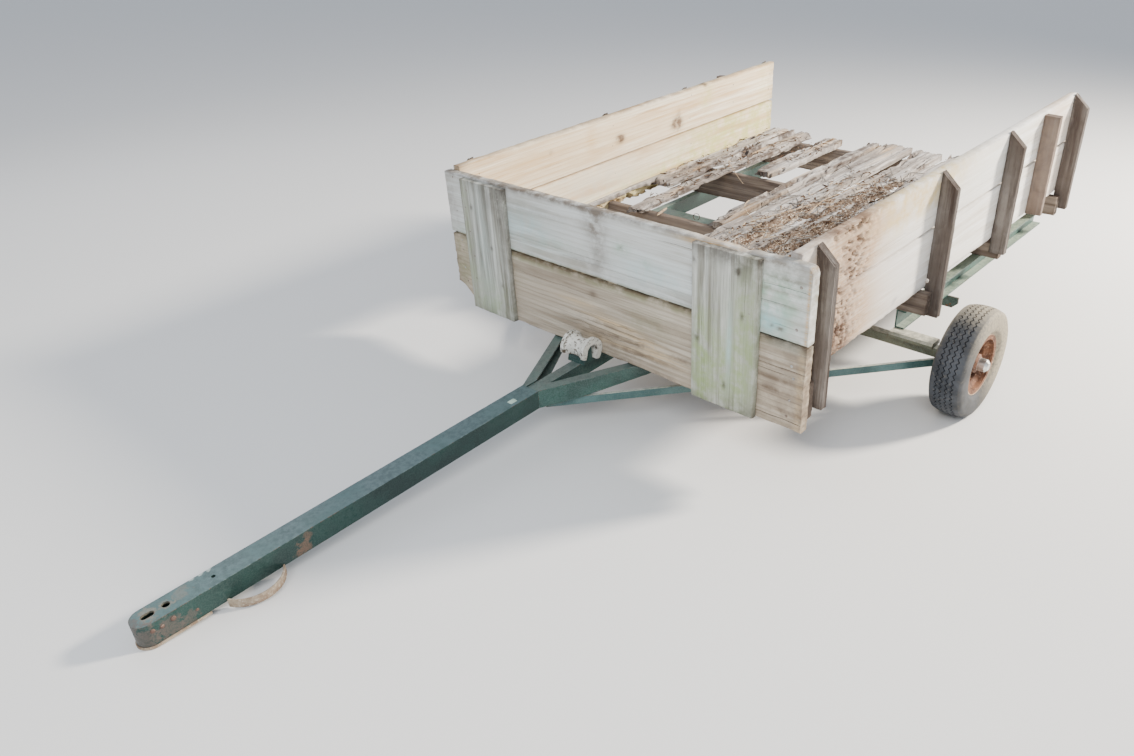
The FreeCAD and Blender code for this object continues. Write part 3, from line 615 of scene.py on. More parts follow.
def board(
    name, box, axes, material, slot, seed, ends=(nothing, nothing), edges=(nothing, nothing), cracks=(),
    relief=0.0012, warp=0.002, rot_ends=0.5, rot_edges=0.25, wear=patches(()), stations=(), replaces=None,
    pits=nothing, under=nothing, steps=STEPS,
):
    """A board inside a box of the bed's frame, swept along its grain, with axes given as (along, across,
    thick). The high side in thickness is the face that carries the cracks and the pits."""
    along, across, thick = axes
    length, width, depth = (box[1][a] - box[0][a] for a in axes)
    rows = max(3, round(length / steps[0]))
    places = sorted({i / rows for i in range(rows + 1)} | {p / length for p in stations})
    columns = [(crack[0], crack, side) for crack in cracks for side in (-1, 0, 1)]
    count = max(2, round((width - 2 * EDGE_ROUND) / steps[1]))
    for i in range(count + 1):
        t = EDGE_ROUND + (width - 2 * EDGE_ROUND) * i / count
        if all(abs(t - c[0]) > CRACK_ROOM + c[3] for c in cracks):
            columns.append((t, None, 0))
    columns.sort(key=lambda c: (c[0], c[2]))
    many = len(columns)
    ring = 2 * many + 4
    verts, grain, wears = [], [], []

    def put(u, t, n, t_loss, bend):
        s_low, s_high = (end(t, n / depth) for end in ends)
        s = s_low + u * (length - s_high - s_low)
        local = [0.0, 0.0, 0.0]
        for axis, more in ((along, s), (across, t), (thick, n)):
            local[axis] = box[0][axis] + more
        local[thick] += bend
        verts.append(local)
        grain.append((s + seed * 7.31, t + seed * 3.17, n + seed * 1.73))
        total = wear(s, t)
        total[0] += max(0.0, pits(s, t) - PIT_CLEAN) / PIT_DARK_AFTER
        near_end = min(s - s_low, length - s_high - s)
        near_edge = min(t - t_loss[0], width - t_loss[1] - t)
        total[0] += rot_ends * math.exp(-max(0.0, near_end) / END_ROT)
        total[0] += rot_edges * math.exp(-max(0.0, near_edge) / EDGE_ROT)
        wears.append([min(1.0, max(0.0, v)) for v in total])

    for u in places:
        s = u * length
        t_loss = (edges[0](s), edges[1](s))
        bend = warp * wobble(s * 1.3, seed * 9.1)
        share = (width - t_loss[0] - t_loss[1]) / width
        for face in (1, 0):
            for t0, crack, side in columns if face else columns[::-1]:
                t = t0
                dip = relief * (0.5 + 0.5 * wobble(s * 5.0 + face * 31.0, t0 * 60.0, seed * 2.9))
                dip += relief * 0.8 * max(0.0, wobble(s * 16.0, t0 * 100.0, seed * 4.3 + face))
                dip += min(depth * 0.8, pits(s, t0)) if face else under(s, t0)
                if crack:
                    grow = smooth(s, crack[1] - CRACK_OUT, crack[1] + CRACK_IN)
                    grow *= smooth(s, crack[2] + CRACK_OUT, crack[2] - CRACK_IN)
                    t += side * (CRACK_LEAST + crack[3] * grow)
                    if face and side == 0:
                        dip += crack[4] * grow + CRACK_LEAST
                put(u, t_loss[0] + t * share, depth - dip if face else dip, t_loss, bend)
            rough = 0.0012 * (1.0 + wobble(s * 30.0, seed * 6.1 + face))
            t = width - t_loss[1] - rough if face else t_loss[0] + rough
            lift = under(s, width if face else 0.0)
            drop = min(depth - lift - 2.5 * EDGE_ROUND, pits(s, width if face else 0.0))
            low_n, high_n = EDGE_ROUND + lift, depth - EDGE_ROUND - max(0.0, drop)
            for n in ((high_n, low_n) if face else (low_n, high_n)):
                put(u, t, n, t_loss, bend)

    faces = bands(len(places), ring)
    cap = [(j, j + 1, ring - 4 - j, ring - 3 - j) for j in range(many - 1)]
    cap += [(many - 1, many, many + 1, many + 2), (ring - 1, 0, ring - 3, ring - 2)]
    last = (len(places) - 1) * ring
    faces += [quad[::-1] for quad in cap] + [tuple(last + q for q in quad) for quad in cap]
    obj = piece(name, verts, faces, material, slot, sharp=50.0)
    # The sweep turns left or right handed with the axes, so the faces may point inward.
    if axes in ((X, Y, Z), (Y, Z, X), (Z, X, Y)):
        obj.data.flip_normals()
    give_points(obj, "grain", "FLOAT_VECTOR", "vector", grain)
    give_points(obj, "wear", "FLOAT_COLOR", "color", wears)
    if replaces:
        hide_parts(replaces)
    return obj


# The headboard: its round top left corner, its rotten bottom right corner and the mesh spacing
HEAD_CORNER = 0.022
HEAD_ROT = 0.13
HEAD_STEPS = (0.009, 0.0065)
CLEAT_STEPS = (0.008, 0.006)
# Splits: place across, first and last place along from the right, half opening, depth
HEAD_UPPER_SPLITS = (
    (0.048, 1.565, 1.615, 0.0026, 0.014), (0.118, 1.46, 1.62, 0.0008, 0.008),
    (0.175, 1.5, 1.75, 0.0009, 0.008), (0.215, 1.1, 1.35, 0.0008, 0.006), (0.07, 0.2, 0.9, 0.0004, 0.003),
)
HEAD_LOWER_SPLITS = (
    (0.030, 1.50, 1.72, 0.0016, 0.02), (0.195, 1.48, 1.64, 0.0012, 0.014), (0.235, 0.3, 0.9, 0.0006, 0.006),
    (0.215, 1.52, 1.7, 0.0010, 0.010),
)
# Pits: place along and across, reach along and across, depth
HEAD_UPPER_PITS = ((1.33, 0.25, 0.13, 0.018, 0.006), (1.60, 0.22, 0.05, 0.04, 0.003))
HEAD_LOWER_PITS = (
    (0.94, 0.11, 0.22, 0.045, 0.007), (0.98, 0.03, 0.24, 0.03, 0.006), (0.03, 0.1, 0.05, 0.1, 0.006),
)
# Wear: channel, place along and across, reach along and across in millimetres, strength in percent
HEAD_UPPER_WEAR = (
    (0, 820, 220, 50, 70, 75), (0, 840, 110, 40, 90, 60), (0, 760, 50, 90, 30, 40),
    (1, 946, 147, 35, 24, 100), (1, 1060, 115, 20, 14, 90), (0, 946, 147, 9, 7, 70),
    (1, 1560, 90, 100, 100, 100), (3, 1545, 55, 50, 50, 95), (0, 1583, 36, 12, 7, 120),
    (0, 1553, 40, 8, 6, 90), (0, 1570, 160, 90, 6, 60), (1, 1570, 170, 70, 50, 100),
    (0, 1570, 115, 80, 5, 50), (0, 1590, 200, 70, 6, 50), (0, 1550, 245, 90, 10, 50),
    (2, 1672, 130, 5, 300, 90), (0, 1600, 220, 120, 35, 50), (3, 450, 120, 160, 70, 45),
    (3, 1080, 80, 160, 60, 40), (1, 620, 80, 160, 30, 40), (1, 820, 0, 900, 11, 90),
    (0, 820, 0, 900, 5, 50), (0, 600, 254, 700, 14, 70), (2, 1330, 245, 110, 12, 130),
    (0, 550, 190, 300, 20, 25), (0, 250, 220, 200, 30, 25), (0, 1150, 30, 200, 20, 25),
    (1, 200, 20, 250, 30, 50), (0, 30, 130, 30, 120, 35),
)
HEAD_LOWER_WEAR = (
    (2, 720, 190, 100, 16, 50), (2, 880, 152, 120, 16, 80), (2, 1000, 118, 120, 18, 80),
    (2, 1120, 86, 100, 22, 75), (2, 920, 70, 140, 14, 50), (0, 840, 135, 120, 9, 65),
    (0, 950, 100, 160, 10, 70), (0, 1060, 66, 140, 10, 60), (0, 1200, 108, 60, 14, 70),
    (0, 820, 304, 900, 12, 60), (1, 820, 298, 900, 16, 140), (0, 860, 50, 200, 25, 50),
    (1, 1060, 200, 120, 45, 50), (0, 800, 245, 18, 14, 60), (0, 1000, 8, 300, 16, 40),
    (0, 1550, 130, 60, 12, 55), (0, 1560, 170, 80, 8, 50), (0, 1550, 215, 50, 6, 45),
    (0, 1620, 60, 80, 10, 45), (0, 550, 250, 200, 20, 15), (0, 1100, 200, 200, 20, 20),
    (1, 50, 200, 70, 140, 100), (1, 600, 298, 500, 14, 80), (1, 300, 200, 120, 50, 30),
    (3, 1620, 300, 80, 20, 40), (2, 1665, 150, 12, 200, 70), (0, 1590, 150, 120, 250, 40),
)
CLEAT_WEAR = {
    "right": (
        (1, 50, 120, 120, 140, 60), (1, 300, 20, 300, 30, 45), (0, 500, 200, 80, 80, 35),
        (3, 300, 110, 300, 50, 30), (0, 450, 60, 12, 7, 90), (0, 300, 160, 10, 8, 80),
        (0, 150, 200, 12, 8, 80), (0, 360, 225, 200, 10, 50),
    ),
    "left": (
        (1, 120, 130, 200, 120, 100), (1, 330, 215, 220, 40, 90), (1, 150, 40, 200, 30, 90),
        (3, 240, 153, 120, 10, 100), (0, 540, 140, 30, 120, 45), (0, 490, 200, 50, 30, 35),
        (0, 502, 14, 12, 8, 100), (0, 500, 178, 14, 9, 100), (0, 233, 27, 16, 10, 100),
        (0, 355, 198, 12, 8, 90), (0, 88, 139, 14, 8, 90), (0, 20, 200, 50, 50, 30),
    ),
}


def headboard():
    box = box_in("headboard_upper", BED)
    width = box[1].y - box[0].y

    def top_edge(s):
        # The edge drops round the left corner, and is splintered beside the left cleat.
        over = min(s - width + HEAD_CORNER, HEAD_CORNER)
        drop = 0.0 if over <= 0 else HEAD_CORNER - math.sqrt(max(0.0, HEAD_CORNER ** 2 - over ** 2))
        splinter = 0.012 * smooth(s, 1.24, 1.3) * smooth(s, 1.56, 1.46) * (0.5 + 0.5 * wobble(s * 26.0, 3.3))
        return drop + splinter + wavy(0.003, 0.05, 2)(s)

    def bottom_edge(s):
        corner_loss = 0.062 * smooth(s, HEAD_ROT, 0.0) + 0.02 * smooth(s, 0.2, 0.05)
        sag = 0.007 * smooth(s, 0.52, 0.7) * smooth(s, 1.25, 1.02) * (0.6 + 0.4 * wobble(s * 17.0, 8.8))
        return corner_loss + sag + wavy(0.005, 0.07, 5)(s)

    board(
        "headboard_upper_planks", box, (Y, Z, X), HEAD_UPPER, "headboard_wood", 1,
        edges=(wavy(0.003, 0.06, 1), top_edge), ends=(ragged(0.004, 1), ragged(0.003, 2)),
        cracks=HEAD_UPPER_SPLITS, relief=0.0004, pits=eaten(HEAD_UPPER_PITS, 3),
        stations=[width - HEAD_CORNER * k / 6.0 for k in range(1, 6)], rot_ends=0.3, rot_edges=0.5,
        wear=patches(HEAD_UPPER_WEAR), replaces="headboard_upper", steps=HEAD_STEPS,
    )
    draw = random.Random(77)
    fibres = []
    for k in range(7):
        middle = 0.98 - 0.1 * k / 6.0 + draw.uniform(-0.08, 0.08)
        half = draw.uniform(0.08, 0.2)
        opening, deep = draw.uniform(0.0006, 0.0014), draw.uniform(0.004, 0.008)
        fibres.append((0.050 + 0.019 * k, middle - half, middle + half, opening, deep))
    board(
        "headboard_lower_planks", box_in("headboard_lower", BED), (Y, Z, X), HEAD_LOWER, "headboard_wood", 2,
        edges=(bottom_edge, wavy(0.003, 0.06, 6)), ends=(ragged(0.014, 3), ragged(0.005, 4)),
        cracks=apart([*HEAD_LOWER_SPLITS, *fibres], 0.003), relief=0.0006, rot_edges=0.45,
        pits=eaten(HEAD_LOWER_PITS, 7, 9.0, 38.0), wear=patches(HEAD_LOWER_WEAR),
        replaces="headboard_lower", steps=HEAD_STEPS,
    )
    for seed, (word, rows) in enumerate(CLEAT_WEAR.items(), 3):
        node = "headboard_cleat_" + word
        low, high = box_in(node, BED)
        board(
            node + "_board", (low, high), (Z, Y, X), CLEAT, "headboard_wood", seed,
            edges=(wavy(0.002, 0.07, seed), wavy(0.002, 0.07, seed + 1)),
            ends=(ragged(0.004, seed + 2), ragged(0.004, seed + 3)),
            cracks=random_cracks(20 + seed, 8, high.z - low.z, high.y - low.y, 0.0008, 0.008),
            wear=patches(rows), replaces=node, rot_edges=0.5, relief=0.0005, steps=CLEAT_STEPS,
        )


# Side boards, from the rear: their wear as above, then pits of: place along and across, reach along and
# across, depth
SIDES = {
    "side_right_lower": (
        (
            (1, 300, 140, 450, 160, 170), (1, 1000, 50, 500, 70, 120), (3, 1450, 150, 450, 110, 40),
            (0, 1450, 0, 1300, 24, 100), (2, 1900, 20, 500, 30, 60), (0, 500, 20, 400, 20, 50),
        ),
        ((1.4, 0.0, 1.2, 0.035, 0.026), (0.5, 0.02, 0.5, 0.035, 0.016)),
    ),
    "side_right_upper": (
        (
            (0, 1295, 82, 26, 16, 260), (2, 1295, 82, 70, 30, 35), (0, 863, 55, 36, 26, 260),
            (0, 850, 100, 14, 30, 60), (0, 625, 205, 16, 12, 180), (1, 620, 150, 50, 70, 80),
            (2, 1490, 130, 35, 70, 60), (2, 1950, 100, 350, 60, 60), (2, 1000, 130, 500, 30, 35),
            (0, 1750, 130, 14, 10, 60), (1, 80, 100, 80, 200, 35), (0, 1100, 203, 1200, 6, 35),
        ),
        (),
    ),
    "side_left_lower": (
        (
            (2, 2000, 120, 190, 200, 160), (0, 2120, 30, 150, 90, 140), (0, 2030, 120, 120, 200, 50),
            (0, 2000, 50, 50, 40, 160), (0, 1200, 10, 600, 12, 40), (2, 200, 100, 160, 200, 60),
            (2, 1800, 100, 200, 140, 30),
        ),
        ((2.02, 0.11, 0.12, 0.18, 0.012), (2.12, 0.0, 0.12, 0.06, 0.014)),
    ),
    "side_left_upper": (
        (
            (1, 1580, 190, 340, 80, 300), (2, 1550, 150, 350, 60, 30), (2, 1950, 100, 190, 200, 160),
            (0, 1950, 90, 100, 200, 50), (0, 1980, 205, 200, 12, 60), (3, 900, 100, 500, 100, 15),
            (2, 2180, 120, 80, 100, 40), (2, 200, 100, 160, 200, 60),
        ),
        ((1.94, 0.09, 0.10, 0.18, 0.012), (1.99, 0.20, 0.15, 0.03, 0.008)),
    ),
}
# What differs between the walls: material, size of the lower edge's loss, pits' pitch along and across,
# mesh spacing
WALLS = {
    "right": (SIDE_CREAM, 0.022, 17.0, 60.0, (0.008, 0.0065)),
    "left": (SIDE_PALE, 0.010, 42.0, 84.0, (0.0065, 0.005)),
}


def sides():
    for seed, (node, (spots, zones)) in enumerate(SIDES.items(), 5):
        low, high = box_in(node, BED)
        material, loss, along, across, steps = WALLS[node.split("_")[1]]
        bottom = wavy(loss, 0.07, seed, 1.5) if "lower" in node else wavy(0.002, 0.1, seed)
        board(
            node + "_board", (low, high), (X, Z, Y), material, "side_wood", seed,
            edges=(bottom, wavy(0.003, 0.08, seed + 9)),
            ends=(ragged(0.012, seed, 0.02), ragged(0.004, seed + 4)),
            cracks=random_cracks(40 + seed, 4, high.x - low.x, high.z - low.z, 0.0006, 0.006),
            pits=eaten(zones, seed, along, across), wear=patches(spots), replaces=node, relief=0.0003,
            warp=0.0015, steps=steps,
        )


def clusters(points, axis, gap):
    """Splits points into groups that lie apart along one axis."""
    rest = sorted(points, key=lambda p: p[axis])
    groups = [[rest[0]]]
    for point in rest[1:]:
        if point[axis] - groups[-1][-1][axis] > gap:
            groups.append([])
        groups[-1].append(point)
    return groups


# Stakes of one side are at least this far apart
STAKE_APART = 0.1
# The paler stake, counted from the rear, and how far it is paler
PALE_STAKE = 1
PALE_SHARE = 0.6
STAKE_SPLITS = ((0.015, 0.05, 0.5, 0.0011, 0.012), (0.027, 0.3, 0.8, 0.0009, 0.009))


def stakes():
    for word, sign in (("left", 1), ("right", -1)):
        for i, group in enumerate(clusters(points_in("stakes_" + word, BED), X, STAKE_APART)):
            low, high = corners(group)
            outer = max(abs(low.y), abs(high.y))
            slope = high.z - max(p.z for p in group if abs(abs(p.y) - outer) < 0.001)
            seed = 20 + i + (6 if sign > 0 else 0)

            def top(t, n):
                outward = n if sign > 0 else 1.0 - n
                return slope * outward + 0.006 * max(0.0, wobble(t * 60.0, n * 5.0, seed * 1.3))

            board(
                "stake_%s_%d" % (word, i + 1), (low, high), (Z, X, Y), STAKE, "sill_wood", seed,
                wear=lambda s, t: [0.0, 0.0, 0.0, PALE_SHARE * (i == PALE_STAKE)],
                edges=(wavy(0.006, 0.04, seed), wavy(0.006, 0.04, seed + 30)), cracks=STAKE_SPLITS,
                ends=(ragged(0.012, seed), top), relief=0.0014, warp=0.0, rot_edges=0.3,
            )
        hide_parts("stakes_" + word)


def sills():
    for i, node in enumerate(("sill_rear", "sill_third", "sill_second", "sill_front")):
        points = points_in(node, BED)
        low, high = corners(points)
        length = high.y - low.y
        inset = high.y - max(p.y for p in points if p.z > high.z - 0.001)
        shoulder = min(p.z for p in points if abs(p.y - high.y) < 0.001 and p.z > low.z + 0.01)

        def top(s):
            past = min(s, length - s) < inset - 0.0005
            return (high.z - shoulder if past else 0.0) + 0.0025 * (1.0 + wobble(s * 9.0, i * 4.4))

        board(
            node + "_board", (low, high), (Y, Z, X), SILL, "sill_wood", 40 + i,
            edges=(wavy(0.004, 0.1, i + 50), top), ends=(ragged(0.006, 50 + i), ragged(0.006, 60 + i)),
            stations=(inset - 0.001, inset, length - inset, length - inset + 0.001), relief=0.0014,
            warp=0.0, cracks=random_cracks(70 + i, 3, length, (high.z - low.z) * 0.6), replaces=node,
        )


# Deck planks: how far the front end is broken back, loss along the right and the left edge, extra rot,
# how much thinner the front part is, number of wide splits, how far the whole plank is eaten
DECK_WEAR = (
    (0.06, 0.010, 0.034, 0.50, 0.014, 4, 1.0),
    (0.10, 0.026, 0.036, 0.45, 0.018, 3, 1.0),
    (0.08, 0.030, 0.028, 0.40, 0.008, 2, 0.8),
    (0.12, 0.022, 0.012, 0.40, 0.008, 2, 0.5),
    (0.04, 0.008, 0.012, 0.20, 0.004, 1, 0.3),
    (0.04, 0.046, 0.014, 0.35, 0.004, 1, 0.4),
    (0.04, 0.020, 0.018, 0.45, 0.004, 2, 0.6),
    (0.03, 0.018, 0.022, 0.45, 0.004, 2, 0.7),
    (0.04, 0.020, 0.008, 0.40, 0.004, 1, 0.6),
)
# Splits seen in the photograph: plank, place across, rear and front end from the plank's rear, half opening
DECK_SPLITS = (
    (4, 0.086, 0.16, 0.50, 0.0060), (4, 0.040, 0.05, 0.95, 0.0030), (5, 0.090, 0.10, 0.80, 0.0030),
    (1, 0.060, 0.02, 0.75, 0.0060), (1, 0.110, 0.10, 0.60, 0.0050), (2, 0.080, 0.05, 0.90, 0.0055),
    (3, 0.075, 0.02, 0.55, 0.0045),
)
SPLIT_DEEP = 0.032
DECK_STEPS = (0.010, 0.0055)


def deck():
    for i, (broken, right, left, rotten, thinner, wide, chewed) in enumerate(DECK_WEAR):
        node = "deck_plank_%d" % (i + 1)
        box = box_in(node, BED)
        length, width = box[1].x - box[0].x, box[1].y - box[0].y
        draw = random.Random(300 + i)
        # Random spots of rot, then of bare wood: channel, count, shortest and longest reach, narrowest
        # and widest reach
        spots = []
        for channel, count, shortest, longest, narrowest, widest in (
            (0, 8, 0.06, 0.25, 0.01, 0.03), (2, 7, 0.05, 0.2, 0.006, 0.02),
        ):
            for _ in range(count):
                place = draw.uniform(0.0, length), draw.uniform(0.0, width)
                reach = draw.uniform(shortest, longest), draw.uniform(narrowest, widest)
                spots.append((channel, *place, *reach, draw.uniform(0.2, 0.6)))
        spots.append((0, length - 0.15, 0.5 * width, 0.35, 0.1, 0.5 * rotten))
        eat = eaten((
            (length - 0.2, 0.5 * width, 0.6, 0.12, 0.035 * rotten),
            (0.5 * length, 0.0, length, 0.03, 0.03), (0.5 * length, width, length, 0.03, 0.03),
            (0.5 * length, 0.5 * width, length, 0.2, 0.012 * chewed),
        ), 150 + i, 3.0, 30.0)
        level = levels(width, 170 + i, 3, 0.007 * chewed)
        splits = [(*row[1:], SPLIT_DEEP) for row in DECK_SPLITS if row[0] == i + 1]
        splits += random_cracks(430 + i, wide, length, width, 0.0036, SPLIT_DEEP)
        splits += random_cracks(400 + i, 6, length, width, 0.0014, 0.02)
        board(
            node + "_board", box, (X, Y, Z), DECK, "deck_wood", 60 + i,
            edges=(wavy(right, 0.16, i + 80, 0.7), wavy(left, 0.16, i + 95, 0.7)),
            ends=(ragged(0.05, 110 + i), ragged(broken, 130 + i, 0.013)), cracks=apart(splits),
            under=lambda s, t: thinner * smooth(s, 0.5, 0.8) * (0.8 + 0.5 * wobble(s * 6.0, t * 20.0, i)),
            relief=0.0012 + 0.0014 * chewed, warp=0.0, rot_edges=0.3, wear=patches(spots, 1.0, 1.0),
            replaces=node, pits=lambda s, t: eat(s, t) + level(s, t), steps=DECK_STEPS,
        )


# Crumbled wood that lies on the left of the deck: reach along and across, mesh spacing, height, and how
# far its hollows sink under the planks' tops
CRUMBS_REAR = -1.95
CRUMBS_FRONT = -0.05
CRUMBS_RIGHT = -0.08
CRUMBS_STEP = 0.007
CRUMBS_HIGH = 0.024
CRUMBS_SUNK = 0.010


def crumb_share(x, y):
    """How much crumbled wood lies at a place: from none to full, less to the rear and the right."""
    line = CRUMBS_RIGHT + 0.20 * smooth(x, -0.8, -1.7)
    return smooth(x, CRUMBS_REAR, CRUMBS_REAR + 0.6) * smooth(y, line, line + 0.12)


def crumb_bed():
    """A bumpy layer whose hollows sink under the planks' tops, so that it shows in patches."""
    left = box_in("side_left_lower", BED)[0].y - 0.004
    top = box_in("deck_plank_7", BED)[1].z
    along = round((CRUMBS_FRONT - CRUMBS_REAR) / CRUMBS_STEP)
    across = round((left - CRUMBS_RIGHT) / CRUMBS_STEP)
    verts = []
    for i in range(along + 1):
        x = CRUMBS_REAR + (CRUMBS_FRONT - CRUMBS_REAR) * i / along
        for j in range(across + 1):
            y = CRUMBS_RIGHT + (left - CRUMBS_RIGHT) * j / across
            share = crumb_share(x, y)
            broad = 0.26 + 1.3 * wobble(x * 1.6, y * 15.0, 5.0) + 0.7 * wobble(x * 9.0, y * 28.0, 3.0)
            grit = 0.35 * wobble(x * 50.0, y * 60.0, 2.0) + 0.3 * wobble(x * 110.0, y * 130.0, 8.0)
            high = CRUMBS_HIGH * share * (broad + grit) - CRUMBS_SUNK * (1.0 - 0.5 * share)
            verts.append((x, y, top + max(-0.015, high)))
    row = across + 1
    starts = [i * row + j for i in range(along) for j in range(across)]
    faces = [(a, a + row, a + row + 1, a + 1) for a in starts]
    keep = [face for face in faces if max(verts[k][Z] for k in face) > top - 0.007]
    used = sorted({k for face in keep for k in face})
    index = {k: n for n, k in enumerate(used)}
    faces = [tuple(index[k] for k in face) for face in keep]
    piece("deck_crumbs", [verts[k] for k in used], faces, CRUMBS, "deck_wood", sharp=80.0)


# What is left of the first plank along the right wall ahead of its stump
LEDGE_REAR = -1.42
LEDGE_FRONT = -0.10
LEDGE_WIDE = 0.062
LEDGE_THICK = 0.020
LEDGE_STEPS = (0.010, 0.005)


def ledge():
    right = box_in("side_right_lower", BED)[1].y + 0.001
    top = box_in("deck_plank_1", BED)[1].z - 0.004
    low = Vector((LEDGE_REAR, right, top - LEDGE_THICK))
    high = Vector((LEDGE_FRONT, right + LEDGE_WIDE, top))
    board(
        "deck_ledge", (low, high), (X, Y, Z), DECK, "deck_wood", 77, relief=0.002, warp=0.0, rot_edges=0.6,
        edges=(nothing, wavy(0.062, 0.12, 31, 0.8)), ends=(ragged(0.03, 32), ragged(0.04, 33)),
        pits=eaten(((0.7, 0.03, 1.0, 0.05, 0.014),), 9, 8.0, 40.0), steps=LEDGE_STEPS,
    )


# Splinters and chips: name, material, count, area (rear, front, right, left), longest, widest
SPLINTERS = (
    ("deck_splinters_grey", SPLINTER_GREY, 520, (-1.95, -0.08, -0.06, 0.74), 0.12, 0.009),
    ("deck_splinters_brown", SPLINTER_BROWN, 900, (-1.85, -0.06, 0.0, 0.75), 0.05, 0.011),
    ("deck_splinters_pale", SPLINTER_PALE, 260, (-1.8, -0.06, 0.0, 0.74), 0.07, 0.008),
    ("deck_chips_rear", SPLINTER_BROWN, 420, (-2.25, -0.95, -0.76, -0.25), 0.06, 0.009),
    ("deck_chips_strip", SPLINTER_GREY, 120, (-1.7, -0.10, -0.76, -0.50), 0.06, 0.007),
)
# Half section of a splinter, and where it is along it: share of the length, share of the size
SPLINTER_SECTION = ((-0.5, 0.0), (-0.3, 0.8), (0.1, 1.0), (0.5, 0.45), (0.3, 0.0))
SPLINTER_RINGS = ((-0.3, 0.9), (0.22, 1.0))


def splinter(place, angle, tilt, length, width, high):
    """A pointed sliver with a flat five-sided body."""
    turn = Matrix.Translation(place) @ Matrix.Rotation(angle, 4, "Z") @ Matrix.Rotation(tilt, 4, "Y")
    verts = [turn @ Vector((-length / 2, 0.0, high * 0.4))]
    for along, share in SPLINTER_RINGS:
        for a, b in SPLINTER_SECTION:
            verts.append(turn @ Vector((along * length, width * share * a, high * share * b)))
    verts.append(turn @ Vector((length / 2, 0.1 * width, high * 0.3)))
    many = len(SPLINTER_SECTION)
    faces = [(0, 1 + (k + 1) % many, 1 + k) for k in range(many)] + bands(2, many, 1)
    faces += [(1 + 2 * many, 1 + many + k, 1 + many + (k + 1) % many) for k in range(many)]
    return verts, faces


def splinters():
    tops = [box_in("deck_plank_%d" % (i + 1), BED) for i in range(len(DECK_WEAR))]
    for seed, (name, material, count, area, longest, widest) in enumerate(SPLINTERS, 901):
        draw = random.Random(seed)
        made = []
        for _ in range(count):
            x, y = draw.uniform(*area[:2]), draw.uniform(*area[2:])
            angle, tilt = draw.gauss(0.0, 0.7), draw.gauss(0.0, 0.06)
            length = longest * draw.uniform(0.15, 1.0) ** 1.6
            width, high = widest * draw.uniform(0.3, 1.0), draw.uniform(0.0015, 0.005)
            under = [b for b in tops if b[0].x + 0.03 < x < b[1].x - 0.1 and b[0].y < y < b[1].y]
            if under:
                heap = CRUMBS_HIGH * 0.5 * crumb_share(x, y)
                z = under[0][1].z - 0.004 + heap + abs(tilt) * length / 2 + draw.uniform(0.0, 0.006)
                made.append(splinter((x, y, z), angle, tilt, length, width, high))
        piece(name, *merge(made), material, "deck_wood", sharp=30.0)


# Long bent slivers of wood on the deck, each by its points in the bed's frame, and their radius
SLIVERS = (
    ((-1.168, -0.138, 0.235), (-1.02, -0.06, 0.262), (-0.90, 0.08, 0.256), (-0.783, 0.277, 0.236)),
    ((-1.60, -0.545, 0.236), (-1.52, -0.50, 0.262), (-1.44, -0.40, 0.240), (-1.40, -0.33, 0.214)),
    ((-1.15, 0.176, 0.240), (-1.30, 0.16, 0.256), (-1.45, 0.17, 0.252), (-1.606, 0.145, 0.238)),
    ((-0.95, 0.02, 0.236), (-1.10, 0.10, 0.250), (-1.26, 0.14, 0.244), (-1.38, 0.22, 0.236)),
)
SLIVER_R = 0.0022
BEND_STEPS = 12
ROD_SIDES = 7
# Wire ring that stands on the second sill
RING_PLACE = (-0.945, -0.264, 0.199)
RING_R = 0.015
RING_WIRE = 0.0014
RING_OPEN = 50.0
RING_STEPS = 24
# Pale chip on the second sill: place, angle, tilt, length, width, height
SILL_CHIP = ((-0.935, -0.455, 0.186), math.radians(10.0), math.radians(4.0), 0.10, 0.020, 0.006)


def bent(points):
    """A smooth line through a few points."""
    points = [Vector(p) for p in points]
    last = len(points) - 1
    line = []
    for i in range(last):
        before, a, b, after = (points[min(last, max(0, k))] for k in range(i - 1, i + 3))
        for k in range(BEND_STEPS):
            t = k / BEND_STEPS
            curve = 2 * a + (b - before) * t + (2 * before - 5 * a + 4 * b - after) * t ** 2
            line.append(0.5 * (curve + (3 * a - before - 3 * b + after) * t ** 3))
    return line + [points[-1]]


def rod(line, radius):
    """A round rod along a line, with a radius given at each share of its length."""
    verts = []
    last = len(line) - 1
    for i, point in enumerate(line):
        ahead = (line[min(i + 1, last)] - line[max(i - 1, 0)]).normalized()
        upright = Vector((0.0, 0.0, 1.0)) if abs(ahead.z) < 0.9 else Vector((1.0, 0.0, 0.0))
        side = ahead.cross(upright).normalized()
        up = side.cross(ahead)
        r = radius(i / float(last))
        for k in range(ROD_SIDES):
            a = 2.0 * math.pi * k / ROD_SIDES
            verts.append(point + side * math.cos(a) * r + up * math.sin(a) * r)
    ring = tuple(range(ROD_SIDES))
    return verts, bands(len(line), ROD_SIDES) + [ring[::-1], tuple(last * ROD_SIDES + k for k in ring)]


def litter():
    rods = [rod(bent(points), lambda u: SLIVER_R * (1.15 - 0.75 * u)) for points in SLIVERS]
    piece("deck_long_slivers", *merge(rods), SPLINTER_PALE, "deck_wood")
    line = []
    for k in range(RING_STEPS + 1):
        a = math.radians(-90.0 + RING_OPEN / 2.0 + (360.0 - RING_OPEN) * k / RING_STEPS)
        out = Vector((-0.3 * math.cos(a), 0.95 * math.cos(a), math.sin(a)))
        line.append(Vector(RING_PLACE) + out * RING_R)
    piece("sill_wire_ring", *rod(line, lambda u: RING_WIRE), SEAT_RUST, "bare_steel")
    piece("sill_chip", *splinter(*SILL_CHIP), SPLINTER_PALE, "sill_wood", sharp=30.0)


